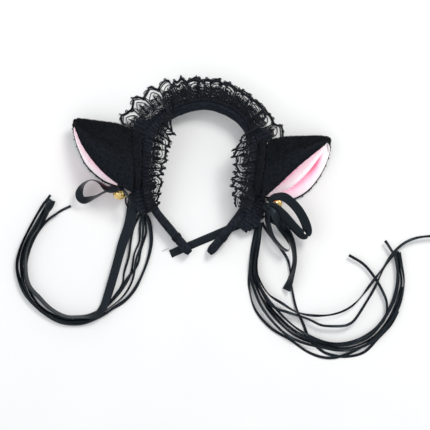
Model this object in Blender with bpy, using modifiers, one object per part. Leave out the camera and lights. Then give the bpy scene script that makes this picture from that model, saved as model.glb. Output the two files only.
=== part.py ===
"""Cat ears headband, lying flat: a covered hoop with lace frills, two plush ears, ribbon bows
with jingle bells, and satin streamers.

Frame: +Z up, +Y towards the crown of the hoop, -X left, Z = 0 on the resting plane. Sizes and
tables are in millimetres, measured from a point near the hoop's centre. At the end everything
is moved so that the origin is the middle of the whole object's footprint.
"""

import math
from functools import cache

import bmesh
import bpy
import numpy as np
from mathutils import Matrix, Vector

MM = 0.001
UP = np.array((0, 0, 1.0))
SIDES = ("left", "right")

# Driving sizes, mm
COVER_W, COVER_T, COVER_WALL = 10.0, 4.6, 1.1  # velvet tube over the hoop
CORE_W, CORE_T = 6.6, 1.4  # spring strip inside it
HEADING_W, HEADING_T = 12.0, 1.3  # gathered cloth ruffle outside the band
LACE_W, LACE_T = 28.0, 0.6
PLUSH_T, LINING_T, RIM_WIRE_R = 2.2, 0.8, 0.5
BOW_W, RIBBON_W, RIBBON_T = 9.0, 3.0, 0.4
BELL_R, BELL_WALL, BALL_R = 6.2, 0.55, 1.7

for old in list(bpy.data.objects):
    bpy.data.objects.remove(old)

part = bpy.data.collections.new("animal_ears_headband")
helpers = bpy.data.collections.new("helpers")
for collection in (part, helpers):
    bpy.context.scene.collection.children.link(collection)


# ---------------------------------------------------------------- materials
def material(name, color, roughness, metallic=0.0):
    mat = bpy.data.materials.new(name)
    mat.use_nodes = True
    inputs = mat.node_tree.nodes["Principled BSDF"].inputs
    inputs["Base Color"].default_value = (*color, 1)
    inputs["Roughness"].default_value = roughness
    inputs["Metallic"].default_value = metallic
    return mat


VELVET = material("velvet", color=(0.012, 0.012, 0.016), roughness=0.95)
STEEL = material("steel", color=(0.55, 0.56, 0.58), roughness=0.35, metallic=1.0)
LACE = material("lace", color=(0.010, 0.010, 0.013), roughness=0.8)
PLUSH = material("plush", color=(0.014, 0.014, 0.018), roughness=1.0)
PINK = material("pink_satin", color=(0.90, 0.45, 0.58), roughness=0.55)
SATIN = material("satin", color=(0.018, 0.019, 0.024), roughness=0.4)
GOLD = material("gold", color=(0.85, 0.62, 0.25), roughness=0.25, metallic=1.0)
FELT = material("felt", color=(0.02, 0.02, 0.022), roughness=1.0)


# ---------------------------------------------------------------- objects from data
def add_part(name, data, mat):
    obj = bpy.data.objects.new(name, data)
    part.objects.link(obj)
    data.materials.append(mat)
    return obj


def add_helper(name, data):
    obj = bpy.data.objects.new(name, data)
    helpers.objects.link(obj)
    obj.hide_render = True
    obj.display_type = "WIRE"
    return obj


def to_mesh(name, bm):
    mesh = bpy.data.meshes.new(name)
    bm.to_mesh(mesh)
    bm.free()
    return mesh


def box_mesh(name, size, centre=(0, 0, 0)):
    bm = bmesh.new()
    bmesh.ops.create_cube(bm, size=1.0)
    bmesh.ops.scale(bm, vec=Vector(size) * MM, verts=bm.verts)
    bmesh.ops.translate(bm, vec=Vector(centre) * MM, verts=bm.verts)
    return to_mesh(name, bm)


def placed(centre):
    """The matrix that moves to a point given in mm."""
    return Matrix.Translation(Vector(centre) * MM)


def rounded_box(name, size, centre, mat, bevel, turn=None):
    obj = add_part(name, box_mesh(name, size), mat)
    obj.matrix_world = placed(centre) @ (turn or Matrix.Identity(4))
    rounding = obj.modifiers.new("round", "BEVEL")
    rounding.width = bevel * MM
    rounding.segments = 2


def thicken(obj, thickness, offset):
    solidify = obj.modifiers.new("thick", "SOLIDIFY")
    solidify.thickness = thickness * MM
    solidify.offset = offset


# ---------------------------------------------------------------- curves
def unit(vectors):
    return vectors / np.linalg.norm(vectors, axis=-1, keepdims=True)


def spline(rows, count):
    """count+1 points spaced evenly along a Catmull-Rom curve through the rows.

    Columns after the third are carried along.
    """
    knots = np.array(rows, float)
    knots = np.vstack([2 * knots[0] - knots[1], knots, 2 * knots[-1] - knots[-2]])
    fine = []
    for a, b, c, d in zip(knots, knots[1:], knots[2:], knots[3:]):
        for k in range(24):
            t = k / 24.0
            square = (2 * a - 5 * b + 4 * c - d) * t * t
            cube = (3 * b - a - 3 * c + d) * t**3
            fine.append(0.5 * (2 * b + (c - a) * t + square + cube))
    fine.append(knots[-2])
    fine = np.array(fine)
    steps = np.linalg.norm(np.diff(fine[:, :3], axis=0), axis=1)
    length = np.concatenate([[0], np.cumsum(steps)])
    even = np.linspace(0, length[-1], count + 1)
    return np.stack([np.interp(even, length, column) for column in fine.T], axis=1)


def sample(table, place):
    """A row of an evenly spaced table, at a place from 0 to 1."""
    last = len(table) - 1
    return np.array([np.interp(place * last, np.arange(last + 1), column) for column in table.T])


def tangents(points):
    return unit(np.gradient(points[:, :3], axis=0))


def tilt_for(tangent, across):
    """The tilt that turns the profile's x axis to across, on a Z-up curve along tangent."""
    untilted = unit(np.cross(tangent, UP))
    across = across - tangent * float(np.dot(across, tangent))
    sine = float(np.dot(np.cross(untilted, across), tangent))
    return math.atan2(sine, float(np.dot(untilted, across)))


def poly_curve(name, points, dimensions="3D", cyclic=False):
    curve = bpy.data.curves.new(name, "CURVE")
    curve.dimensions = dimensions
    path = curve.splines.new("POLY")
    path.points.add(len(points) - 1)
    for vertex, (x, y, z, *_) in zip(path.points, points):
        vertex.co = (x * MM, y * MM, z * MM, 1)
    path.use_cyclic_u = cyclic
    return curve


@cache
def rect_profile(width, thick, corner=0.0):
    """A closed rectangle, with its corners cut at 45 degrees by corner."""
    a, b, c = width / 2, thick / 2, corner
    if c:
        outline = [
            (-a + c, -b), (a - c, -b), (a, -b + c), (a, b - c),
            (a - c, b), (-a + c, b), (-a, b - c), (-a, -b + c),
        ]
    else:
        outline = [(-a, -b), (a, -b), (a, b), (-a, b)]
    name = f"profile_{width}_{thick}"
    points = [(x, y, 0) for x, y in reversed(outline)]
    return add_helper(name, poly_curve(name, points, dimensions="2D", cyclic=True))


def sweep(name, points, tilts, profile, mat, caps=True):
    """A profile carried along the points, turned by the tilts."""
    curve = poly_curve(name, points)
    curve.twist_mode = "Z_UP"
    curve.bevel_mode = "OBJECT"
    curve.bevel_object = profile
    curve.use_fill_caps = caps
    for vertex, tilt in zip(curve.splines[0].points, tilts):
        vertex.tilt = tilt
    return add_part(name, curve, mat)


def wire(name, points, radius, mat, cyclic=False):
    curve = poly_curve(name, points, cyclic=cyclic)
    curve.bevel_depth = radius * MM
    curve.bevel_resolution = 1
    curve.use_fill_caps = not cyclic
    return add_part(name, curve, mat)


def ribbon(name, rows, width, count, across=None):
    """A flat satin ribbon through rows of (x, y, z, lay).

    lay is the angle in degrees between the ribbon and the table. With across, the rows have
    no lay and the ribbon's width points along across.
    """
    points = spline(rows, count)
    if across is None:
        tilts = np.radians(points[:, 3])
    else:
        tilts = [tilt_for(tangent, np.array(across)) for tangent in tangents(points)]
        # Half turns look the same, so each tilt takes the one nearest its neighbour's
        for i in range(1, len(tilts)):
            change = (tilts[i] - tilts[i - 1] + math.pi / 2) % math.pi - math.pi / 2
            tilts[i] = tilts[i - 1] + change
    sweep(name, points, tilts, rect_profile(width, RIBBON_T), SATIN)


def level_ribbon(name, outline, z, width, count):
    """A ribbon lying level at height z, through (x, y) points."""
    ribbon(name, [(x, y, z, 0) for x, y in outline], width, count)


# ---------------------------------------------------------------- hoop
# Centre line from the left end over the crown to the right end:
# x, y, lean of the band (degrees its upper edge leans outward)
HOOP = [
    (-10, -78, 44), (-29, -55, 42), (-45, -34, 36), (-53, -12, 16), (-54.5, 13, 10),
    (-47, 40, 20), (-26.5, 59.5, 34), (5, 68, 36), (33, 58.5, 34), (48, 41.5, 20),
    (55, 19, 10), (54, -7, 16), (45, -31, 36), (29, -54, 42), (9, -78, 44),
]
HOOP_END_Y = HOOP[0][1]
HOOP_END_Z = 6.6
HOOP_SLOPE = 0.07  # the crown rests on its lace, so the hoop rises a little towards it
HOOP_COUNT = 72
WRAP = 4  # hoop steps covered by the folded wrap at each end
COVER_CORNER, WRAP_CORNER = 1.5, 1.6
WRAP_REACH = 0.92  # share of its last step that the wrap covers, to stay clear of the tube

hoop = spline(
    [(x, y, HOOP_END_Z + HOOP_SLOPE * (y - HOOP_END_Y), lean) for x, y, lean in HOOP], HOOP_COUNT
)
hoop_along = tangents(hoop)
hoop_out = unit(np.cross(UP, hoop_along))
hoop_lean = np.radians(hoop[:, 3])[:, None]
hoop_width = np.cos(hoop_lean) * UP + np.sin(hoop_lean) * hoop_out  # across the band, upwards
hoop_width -= hoop_along * np.sum(hoop_width * hoop_along, axis=1)[:, None]
hoop_width = unit(hoop_width)
hoop_tilt = [tilt_for(along, across) for along, across in zip(hoop_along, hoop_width)]


def velvet_cover():
    span = slice(WRAP, HOOP_COUNT + 1 - WRAP)
    profile = rect_profile(COVER_W, COVER_T, COVER_CORNER)
    cover = sweep("velvet_cover", hoop[span], hoop_tilt[span], profile, VELVET, caps=False)
    wall = cover.modifiers.new("wall", "SOLIDIFY")
    wall.thickness = COVER_WALL * MM
    wall.offset = -1
    wall.use_rim = True


def hoop_core():
    span = slice(WRAP + 1, HOOP_COUNT - WRAP)
    sweep("hoop_core", hoop[span], hoop_tilt[span], rect_profile(CORE_W, CORE_T), STEEL)


def end_wrap(name, order):
    """The folded end of the velvet, closing the tube at the tip of the leg.

    order lists the hoop samples from the tip inwards.
    """
    points = [hoop[i][:3] for i in order]
    points[-1] = points[-2] + WRAP_REACH * (points[-1] - points[-2])
    tilts = [hoop_tilt[i] for i in order]
    if order[0] > order[-1]:
        points.reverse()
        tilts.reverse()
    profile = rect_profile(COVER_W + 0.6, COVER_T + 0.4, WRAP_CORNER)
    sweep(name, points, tilts, profile, VELVET)


velvet_cover()
hoop_core()
end_wrap("left_end_wrap", range(WRAP + 1))
end_wrap("right_end_wrap", range(HOOP_COUNT, HOOP_COUNT - WRAP - 1, -1))

# ---------------------------------------------------------------- frills
# Rows: place along the hoop (0 to 1), lean (degrees from straight up, outward positive), width
FRONT_LACE = [
    (0.145, -50, 12), (0.18, -57, 16), (0.24, -58, 23), (0.33, -60, LACE_W - 2),
    (0.385, -50, LACE_W - 1), (0.422, 5, LACE_W), (0.453, 52, LACE_W + 2),
    (0.50, 63, LACE_W + 2), (0.59, 63, LACE_W + 2), (0.628, 50, LACE_W + 1),
    (0.654, -10, LACE_W), (0.676, -55, LACE_W - 1), (0.80, -60, LACE_W - 1), (0.855, -50, 20),
]
BACK_LACE = [
    (0.340, 95, 36), (0.38, 97, 38), (0.42, 99, 36), (0.46, 100, 32),
    (0.50, 100, 30), (0.60, 100, 30), (0.65, 94, 32), (0.676, 92, 32),
]
HEADING = [
    (0.145, 84, 10), (0.18, 84, HEADING_W), (0.33, 84, HEADING_W), (0.38, 84, 7.5),
    (0.64, 84, 7.5), (0.665, 84, 10), (0.795, 84, 10), (0.815, 84, 12),
    (0.85, 86, 14), (0.885, 90, 12),
]
hoop_fine = spline(np.hstack([hoop[:, :3], hoop_width, hoop_out, hoop_along]), 240)


def frill(name, rows, root_up, root_out, waves, wave_size, grid, thick, mat):
    """A strip rooted root_up across the band and root_out outside it, waving at its free edge."""
    places, leans, widths = np.array(rows, float).T
    bm = bmesh.new()
    bmesh.ops.create_grid(bm, x_segments=grid[0], y_segments=grid[1], size=1.0)
    for vert in bm.verts:
        u, v = (vert.co.x + 1) / 2, (vert.co.y + 1) / 2
        place = places[0] + (places[-1] - places[0]) * u
        centre, across, out, along = sample(hoop_fine, place).reshape(4, 3)
        out = unit(out)
        lean = math.radians(float(np.interp(place, places, leans)))
        direction = math.cos(lean) * UP + math.sin(lean) * out
        normal = np.cross(unit(along), direction)
        width = float(np.interp(place, places, widths))
        wave = wave_size * (v**0.8) * math.sin(2 * math.pi * waves * u)
        root = centre + across * root_up + out * root_out
        vert.co = Vector(root + direction * width * v + normal * wave) * MM
    bmesh.ops.recalc_face_normals(bm, faces=bm.faces)
    thicken(add_part(name, to_mesh(name, bm), mat), thick, offset=0)


frill(
    "lace_front_frill", FRONT_LACE, root_up=7.2, root_out=1.0,
    waves=26, wave_size=2.6, grid=(130, 3), thick=LACE_T, mat=LACE,
)
frill(
    "lace_back_frill", BACK_LACE, root_up=-9.2, root_out=2.0,
    waves=12, wave_size=2.0, grid=(64, 3), thick=LACE_T, mat=LACE,
)
frill(
    "gathered_heading", HEADING, root_up=-0.5, root_out=4.2,
    waves=46, wave_size=1.3, grid=(184, 2), thick=HEADING_T, mat=VELVET,
)

# ---------------------------------------------------------------- ears
# Each ear is a cupped leaf between an upper rim, a crease on its +Y side and a lower rim.
# Rows are x, y, z from the base to the tip.
EARS = {
    "right": {
        "upper": [
            (65, -20.5, 27), (77, -9.5, 32), (97, 9.5, 33.5), (114, 23.5, 27), (124.5, 32, 19.5),
        ],
        "crease": [
            (70.5, 33, 15), (86, 34.5, 17), (104, 34.8, 18), (119, 35.5, 17.5),
            (126.5, 34.5, 16.5),
        ],
        "lower": [
            (67.5, -17.5, 4.2), (79, -20.3, 3.1), (92, -24.5, 2.6), (108, -16, 2.6),
            (121, 1, 4.2), (128.5, 20, 8.5), (128.5, 31, 14),
        ],
    },
    "left": {
        "upper": [
            (-69, -15, 28), (-80, -8, 32), (-96, 5.5, 33.5), (-113, 27.5, 27), (-122.5, 48.5, 20),
        ],
        "crease": [
            (-67.5, 42, 15), (-80, 47.5, 17), (-97, 50, 18), (-112, 52, 17.5), (-121, 53, 17),
        ],
        "lower": [
            (-72.5, -12.5, 4.2), (-84, -11.5, 3.1), (-98.5, -5, 2.6), (-113, 8.5, 2.6),
            (-121, 24.5, 4.6), (-125, 39, 8.5), (-125.5, 48.5, 14.5),
        ],
    },
}
LINING_INSET, RIM_WIRE_INSET = 2.2, 0.95  # into the cup from the ear surface
RIM_EDGE = 0.035  # the wire's place across the ear, from either rim
RIM_TOP = 0.93  # where the wire turns over below the tip


def ear_surface(ear):
    """Two functions of (t, u): the point on the ear and the direction into its cup.

    t runs from base to tip, u from the upper rim to the lower rim.
    """
    curves = [spline(ear[key], 60) for key in ("upper", "crease", "lower")]

    def point(t, u):
        upper, crease, lower = (sample(curve, t) for curve in curves)
        control = 2 * crease - (upper + lower) / 2
        return (1 - u) ** 2 * upper + 2 * u * (1 - u) * control + u * u * lower

    def inward(t, u):
        step = 1e-3
        across = point(t, min(u + step, 1)) - point(t, max(u - step, 0))
        along = point(min(t + step, 1), u) - point(max(t - step, 0), u)
        normal = unit(np.cross(across, along))
        to_opening = (point(t, 0) + point(t, 1)) / 2 - point(t, 0.5)
        return normal if np.dot(normal, to_opening) > 0 else -normal

    return point, inward


def ear_sheet(name, surface, inset, thick, offset, t_span, u_span, mat):
    point, inward = surface
    bm = bmesh.new()
    bmesh.ops.create_grid(bm, x_segments=12, y_segments=10, size=1.0)
    for vert in bm.verts:
        u = u_span[0] + (u_span[1] - u_span[0]) * (vert.co.x + 1) / 2
        t = t_span[0] + (t_span[1] - t_span[0]) * (vert.co.y + 1) / 2
        vert.co = Vector(point(t, u) + inward(t, u) * inset) * MM
    bm.normal_update()
    first_face = next(iter(bm.faces))
    bmesh.ops.recalc_face_normals(bm, faces=bm.faces)
    bm.normal_update()
    # The faces must point into the cup
    if Vector(inward(0.1, 0.1)).dot(first_face.normal) < 0:
        bmesh.ops.reverse_faces(bm, faces=bm.faces)
    thicken(add_part(name, to_mesh(name, bm), mat), thick, offset)


def rim_wire(name, surface):
    """A wire up one rim, over below the tip and down the other."""
    point, inward = surface
    rise = np.linspace(0.02, 0.86, 9)
    path = [(t, RIM_EDGE) for t in rise]
    path += [(RIM_TOP, u) for u in np.linspace(0.2, 0.8, 4)]
    path += [(t, 1 - RIM_EDGE) for t in rise[::-1]]
    points = [point(t, u) + inward(t, u) * RIM_WIRE_INSET for t, u in path]
    wire(name, spline(points, 40), RIM_WIRE_R, STEEL)


for side, ear in EARS.items():
    surface = ear_surface(ear)
    ear_sheet(
        f"{side}_ear_plush_back", surface, inset=0.0, thick=PLUSH_T, offset=-1,
        t_span=(0, 1), u_span=(0, 1), mat=PLUSH,
    )
    ear_sheet(
        f"{side}_ear_pink_lining", surface, inset=LINING_INSET, thick=LINING_T, offset=0,
        t_span=(0.0, 0.88), u_span=(0.04, 0.96), mat=PINK,
    )
    rim_wire(f"{side}_ear_rim_wire", surface)

rounded_box("right_ear_felt_base", (1.8, 34, 8), (62.2, 9, 23.0), FELT, bevel=0.5)
rounded_box("left_ear_felt_base", (1.8, 32, 8), (-63.6, 16, 23.0), FELT, bevel=0.5)

# ---------------------------------------------------------------- bells and bow knots
KNOT = {"left": Vector((-78, -12.8, 25)), "right": Vector((66, -31.5, 20.5))}
BELL = {"left": Vector((-79.5, -18.5, 11.5)), "right": Vector((75.5, -29.5, 8.6))}
BELL_AXIS = {side: (KNOT[side] - BELL[side]).normalized() for side in SIDES}
KNOT_SIZE, KNOT_BEVEL = (7.5, 6.5, 5.5), 1.8

# In each bell's own frame, whose +Z runs from the bell's centre to its knot
SHELL_ANGLES = 16, 84  # degrees from the pole: edge of the hole, start of the seam
SEAM_R, SEAM_TOP, SEAM_GAP = BELL_R + 0.45, 0.55, 0.17
SLOT_SIZE, SLOT_Z, SLOT_TURN = (9.6, 1.1, 8.0), -6.2, 20
SHANK_WIRE_R, RING_WIRE_R = 0.36, 0.34
RING_R, RING_Z = 1.75, 9.65
BALL_DROP = 2.6
SHANK = [  # x, y, z: up from inside the bell, round the eye and down again
    (-0.75, 0, 4.6), (-0.8, 0, 6.2), (-1.25, 0, 7.4), (-0.8, 0, 8.5), (0, 0, 8.9),
    (0.8, 0, 8.5), (1.25, 0, 7.4), (0.8, 0, 6.2), (0.75, 0, 4.6),
]


def turned(name, outline, mat):
    """A closed outline of (radius, height) turned about the Z axis."""
    bm = bmesh.new()
    verts = [bm.verts.new((radius * MM, 0, z * MM)) for radius, z in outline]
    for start, end in zip(verts, verts[1:] + verts[:1]):
        bm.edges.new((start, end))
    obj = add_part(name, to_mesh(name, bm), mat)
    screw = obj.modifiers.new("turn", "SCREW")
    screw.steps = screw.render_steps = 20
    screw.use_merge_vertices = True
    screw.merge_threshold = 1e-6
    screw.use_smooth_shade = True
    return obj


def half_bell(sign):
    """Outline of one half shell with a rolled seam at its mouth and a hole at its pole."""
    inner_r = BELL_R - BELL_WALL
    first, last = SHELL_ANGLES
    angles = [math.radians(first + (last - first) * k / 7) for k in range(8)]
    outer = [(BELL_R * math.sin(a), sign * BELL_R * math.cos(a)) for a in angles]
    inner = [(inner_r * math.sin(a), sign * inner_r * math.cos(a)) for a in angles]
    seam = [(SEAM_R, sign * SEAM_TOP), (SEAM_R, sign * SEAM_GAP), (inner_r, sign * SEAM_GAP)]
    outline = outer + seam + inner[::-1]
    return outline if sign > 0 else outline[::-1]


def cut_slots(side, shell, pose):
    """Sound slots: a cross in the lower half."""
    for i in range(2):
        name = f"{side}_slot_{i}"
        cutter = add_helper(name, box_mesh(name, SLOT_SIZE, (0, 0, SLOT_Z)))
        cutter.matrix_world = pose @ Matrix.Rotation(math.radians(90 * i + SLOT_TURN), 4, "Z")
        cut = shell.modifiers.new(f"slot_{i}", "BOOLEAN")
        cut.operation = "DIFFERENCE"
        cut.object = cutter


def bell_ball(side):
    name = f"{side}_bell_ball"
    bm = bmesh.new()
    bmesh.ops.create_icosphere(bm, subdivisions=2, radius=BALL_R * MM)
    ball = add_part(name, to_mesh(name, bm), STEEL)
    ball.matrix_world = placed(BELL[side] - BELL_AXIS[side] * BALL_DROP)


def bell(side, turn):
    pose = placed(BELL[side]) @ turn
    upper = turned(f"{side}_bell_upper_shell", half_bell(1), GOLD)
    lower = turned(f"{side}_bell_lower_shell", half_bell(-1), GOLD)
    cut_slots(side, lower, pose)
    # The shank passes through the top hole, and the jump ring through the shank's eye
    shank = wire(f"{side}_bell_shank", spline(SHANK, 18), SHANK_WIRE_R, GOLD)
    angles = np.linspace(0, 2 * math.pi, 21)[:-1]
    circle = [(0, RING_R * math.sin(a), RING_Z - RING_R * math.cos(a)) for a in angles]
    jump_ring = wire(f"{side}_bell_jump_ring", circle, RING_WIRE_R, GOLD, cyclic=True)
    for obj in (upper, lower, shank, jump_ring):
        obj.matrix_world = pose
    bell_ball(side)


for side in SIDES:
    turn = BELL_AXIS[side].to_track_quat("Z", "X").to_matrix().to_4x4()
    bell(side, turn)
    rounded_box(f"{side}_bow_knot", KNOT_SIZE, KNOT[side], SATIN, KNOT_BEVEL, turn)

# ---------------------------------------------------------------- bow ribbons
# Rows are x, y, z and lay in degrees; the right big loop has no lay
RIGHT_BIG_LOOP = [
    (73.5, -24.5, 25.5), (83, -22.5, 24), (95.5, -33, 21), (103.5, -45.5, 17.5),
    (106.5, -56, 14.5), (102.5, -60, 12.5), (93.5, -52, 13), (84, -40, 15.5), (75.5, -33.5, 19),
]
RIGHT_BIG_LOOP_ACROSS = (0.60, 0.66, 0.45)
RIGHT_SMALL_LOOP = [
    (66.5, -37.5, 19, 45), (67, -47, 15, 55), (71.5, -61, 13, 62), (79.5, -71.5, 12.5, 68),
    (86.5, -75.5, 12.5, 75), (89, -72, 13, 88), (86, -64, 14.5, 75), (80, -54, 17, 55),
    (75, -46, 20.5, 40), (71.5, -39.5, 22.5, 35),
]
RIGHT_TAIL = [  # long, under the loops
    (71.5, -42.5, 12.5, 0), (79, -48, 10.5, 12), (87.5, -58.5, 9, 42), (92.5, -71, 7.8, 54),
    (94, -86.6, 6.6, 50), (90.5, -103, 5.2, 40), (86, -115, 4.2, 25),
]
LEFT_BIG_LOOP = [
    (-84, -14.5, 24, 15), (-92, -13.5, 22.5, 50), (-99, -7.5, 21.5, 76), (-107, -5.5, 20, 84),
    (-115, -10, 16, 62), (-119.5, -19, 12.5, 20), (-115.5, -25.5, 11.5, 30),
    (-104, -22.5, 13.5, 72), (-95, -18.0, 15.5, 80), (-89.5, -16.5, 16.5, 80),
]
LEFT_SMALL_LOOP = [
    (-73.3, -17.8, 26.5, 60), (-70.5, -21.5, 26.5, 65), (-68.5, -28, 23, 72),
    (-70.5, -31.5, 20, 80), (-72.8, -28, 19.8, 80), (-72.8, -22, 20.5, 80),
]
ribbon("right_bow_big_loop", RIGHT_BIG_LOOP, BOW_W, 40, across=RIGHT_BIG_LOOP_ACROSS)
ribbon("right_bow_small_loop", RIGHT_SMALL_LOOP, BOW_W - 2.0, 40)
ribbon("right_bow_tail", RIGHT_TAIL, BOW_W, 22)
ribbon("left_bow_big_loop", LEFT_BIG_LOOP, BOW_W - 1.0, 44)
ribbon("left_bow_small_loop", LEFT_SMALL_LOOP, width=5.0, count=24)

# ---------------------------------------------------------------- streamers
GATHER = {"left": (-57, -31.5, 4.4), "right": (58, -41, 4.6)}
GATHER_R, GATHER_LENGTH, GATHER_BEVEL = 3.4, 8.5, 0.6
STREAMER_Z, STREAMER_PITCH = 0.5, 0.8  # height of the lowest streamer, and step to the next
WIDE_STREAMER_W, WIDE_STREAMER_Z = 8.6, 5.6
TIE_W = 8.0

# x, y along each streamer from its gather, lowest streamer first
STREAMERS = {
    "left": [
        [(-55, -37.5), (-49.5, -48), (-48, -66), (-51.5, -83), (-58, -100), (-65.5, -115.5),
         (-77.5, -128.5), (-91.5, -136), (-108, -145), (-124, -149), (-139.5, -147),
         (-156.5, -137), (-172, -122), (-179.5, -106), (-182.5, -92), (-180.5, -79),
         (-175, -63.5), (-167.5, -48.5), (-159, -33), (-149.5, -20)],
        [(-56, -37.5), (-54, -57), (-59, -74), (-62.5, -89.5), (-72, -102.5), (-81, -115.5),
         (-91.5, -128.5), (-102.5, -137), (-119, -145), (-135, -144), (-152, -137),
         (-164, -126.5), (-171, -113.5), (-174, -97), (-172, -81), (-166.5, -65.5),
         (-158, -52.5), (-149, -43), (-138.5, -35.5), (-129, -31)],
        [(-57.5, -37.5), (-60, -52), (-60.5, -66), (-65.5, -79), (-69, -98), (-77, -113),
         (-88, -126), (-100, -136.5), (-117, -143), (-134, -145.5), (-154, -139.5),
         (-168, -126), (-175.5, -110), (-177.5, -95), (-176, -80), (-170, -63), (-163, -50),
         (-156, -38), (-148, -27)],
        [(-59, -37.5), (-66, -52), (-69, -66), (-71, -81), (-75.5, -97), (-77.5, -109),
         (-85, -121), (-95, -131.5), (-110, -139.5), (-126, -142.5), (-144, -141),
         (-159, -132), (-169, -118), (-174.5, -101), (-174, -86), (-169, -69), (-161, -55),
         (-152, -45), (-142, -38)],
        [(-54.5, -37.5), (-50.5, -52), (-49.5, -70), (-54, -90), (-62, -108), (-72, -122),
         (-84, -131), (-97, -140), (-113, -147.5), (-127, -149.5), (-142, -146.5),
         (-159, -135.5), (-174, -120), (-181, -104), (-183, -88), (-179, -72), (-172, -57),
         (-164, -42), (-155, -27)],
        [(-57, -37.5), (-56.5, -50), (-58, -68), (-63.5, -84), (-67, -104), (-75, -119),
         (-87.5, -130.5), (-99, -138), (-114, -145), (-131, -147), (-148, -142),
         (-163, -130.5), (-173.5, -115), (-178, -99), (-178.5, -84), (-173.5, -67),
         (-166, -53), (-158.5, -40), (-149, -24)],
    ],
    "right": [
        [(62, -47.5), (67, -56), (74.6, -66), (81, -74), (87.4, -84), (90, -94), (91, -107),
         (92.5, -117), (96, -132.5), (102.7, -148), (109, -163), (116, -171), (127, -178.5),
         (145, -181.5), (164, -177), (179, -162), (191, -149), (198, -136)],
        [(55.5, -47.5), (50, -72), (49, -94), (49, -113), (55.5, -135), (71, -153),
         (90, -164.5), (106.5, -176), (122, -182), (137, -182), (157.5, -174.5), (174, -163),
         (188, -148), (199, -128), (203, -112)],
        [(58, -47.5), (54.5, -69), (52, -87), (52, -97), (56, -111), (66, -131), (84, -152),
         (101, -163), (126, -171), (142, -173), (158, -170), (174, -161), (188, -144),
         (197, -126), (201, -107), (199, -92), (197, -76)],
        [(59.5, -47.5), (56.5, -70), (53.5, -88), (54, -99), (59, -112), (69, -130),
         (86, -149), (103, -160.5), (127, -168.5), (142, -170), (157, -167.5), (172, -158.5),
         (185, -142), (194, -124.5), (198, -106), (196.5, -92), (195, -79)],
        [(57, -47.5), (52, -68), (49.5, -86), (50, -98), (53.5, -113), (63, -134), (81, -155),
         (99, -166), (125, -173), (142, -175), (159, -172.5), (176, -163), (191, -145),
         (200, -126.5), (203.5, -107), (201, -90), (199, -77)],
        [(57.5, -47.5), (53.5, -80), (54, -101), (61, -121), (77, -141), (96, -157),
         (120, -167), (140, -170), (160, -165), (176, -153), (185, -142), (186.3, -128),
         (182, -116), (174, -102), (163, -89), (148.5, -80)],
        [(59, -47.5), (55.5, -78), (55, -98), (63, -117), (79, -137), (98, -154),
         (121, -165.5), (141, -168), (160, -163), (177, -151), (189, -133), (195.5, -114),
         (197, -98), (195.5, -84), (190, -74), (184.5, -65.5)],
        [(60, -47.5), (56, -74), (55.5, -93), (59, -104.5), (68, -118.5), (81, -127.5),
         (96, -136.5), (111.5, -140), (129.5, -139.5), (145, -134.5), (157.5, -125),
         (171.5, -107), (183, -91.5), (190.5, -80), (202, -69), (215, -63), (230, -61),
         (236, -61)],
        [(58.5, -47.5), (54.5, -76), (54, -95), (62, -115), (73, -131), (88, -137),
         (106.5, -143), (119, -149), (127, -150.5), (141, -150.5), (148.5, -148.5),
         (155, -143), (165, -127.5), (174, -112), (183, -93), (191, -81.5), (196, -76)],
    ],
}
# The wide streamer on the left, over the narrow ones
WIDE_STREAMER = [
    (-67.5, -25), (-71, -48), (-77.5, -70), (-85, -97), (-92.5, -122), (-97, -133),
    (-104, -139.5), (-117, -141.5), (-134, -141), (-149, -133), (-160, -122), (-169, -112),
    (-173, -100), (-173, -82), (-168, -65), (-160, -52), (-152, -36), (-148, -25),
]
# A satin tie on the table, starting under the right leg
TIE = [(44, -48.2), (30, -53.5), (10, -62), (-10, -70.5), (-29.5, -79)]


def streamer_gather(side):
    """A short drum, lying along X, that holds the streamers' ends."""
    name = f"{side}_streamer_gather"
    radius = GATHER_R * MM
    bm = bmesh.new()
    bmesh.ops.create_cone(
        bm, cap_ends=True, segments=18, radius1=radius, radius2=radius, depth=GATHER_LENGTH * MM
    )
    gather = add_part(name, to_mesh(name, bm), SATIN)
    gather.matrix_world = placed(GATHER[side]) @ Matrix.Rotation(math.pi / 2, 4, "Y")
    gather.modifiers.new("round", "BEVEL").width = GATHER_BEVEL * MM


def streamer_z(number):
    return STREAMER_Z + STREAMER_PITCH * (number - 1)


for side in SIDES:
    streamer_gather(side)
    for number, outline in enumerate(STREAMERS[side], 1):
        level_ribbon(f"{side}_streamer_{number}", outline, streamer_z(number), RIBBON_W, 40)
level_ribbon("left_wide_streamer", WIDE_STREAMER, WIDE_STREAMER_Z, WIDE_STREAMER_W, 44)
level_ribbon("under_band_tie", TIE, RIBBON_T / 2, TIE_W, 16)

# ---------------------------------------------------------------- origin and joints
ORIGIN = Vector((25.73, -41.93, 0.0))  # middle of the whole footprint, on the resting plane
EAR_PIVOT = {"left": (-66.4, 15, 29), "right": (66.9, 10, 29)}
LIFT_PIVOT = {"left": (-57, -36), "right": (58, -46.8)}
WIDE_LIFT_PIVOT = (-67.5, -24)

for obj in [*part.objects, *helpers.objects]:
    obj.matrix_world = placed(-ORIGIN) @ obj.matrix_world


def hang(obj, parent):
    """Parents obj without moving it."""
    obj.parent = parent
    # Pivots are never turned, so their own matrix is also their place in the world
    obj.matrix_parent_inverse = parent.matrix_basis.inverted()


def joint(side, name, parent, pivot, *pieces):
    """An empty standing on a joint's axis, with the pieces that move with it."""
    empty = bpy.data.objects.new(f"{side}_{name}_pivot", None)
    empty.empty_display_size = 0.004
    part.objects.link(empty)
    empty.matrix_world = placed(Vector(pivot) - ORIGIN)
    if parent:
        hang(empty, parent)
    for piece in pieces:
        hang(bpy.data.objects[f"{side}_{piece}"], empty)
    return empty


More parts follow.
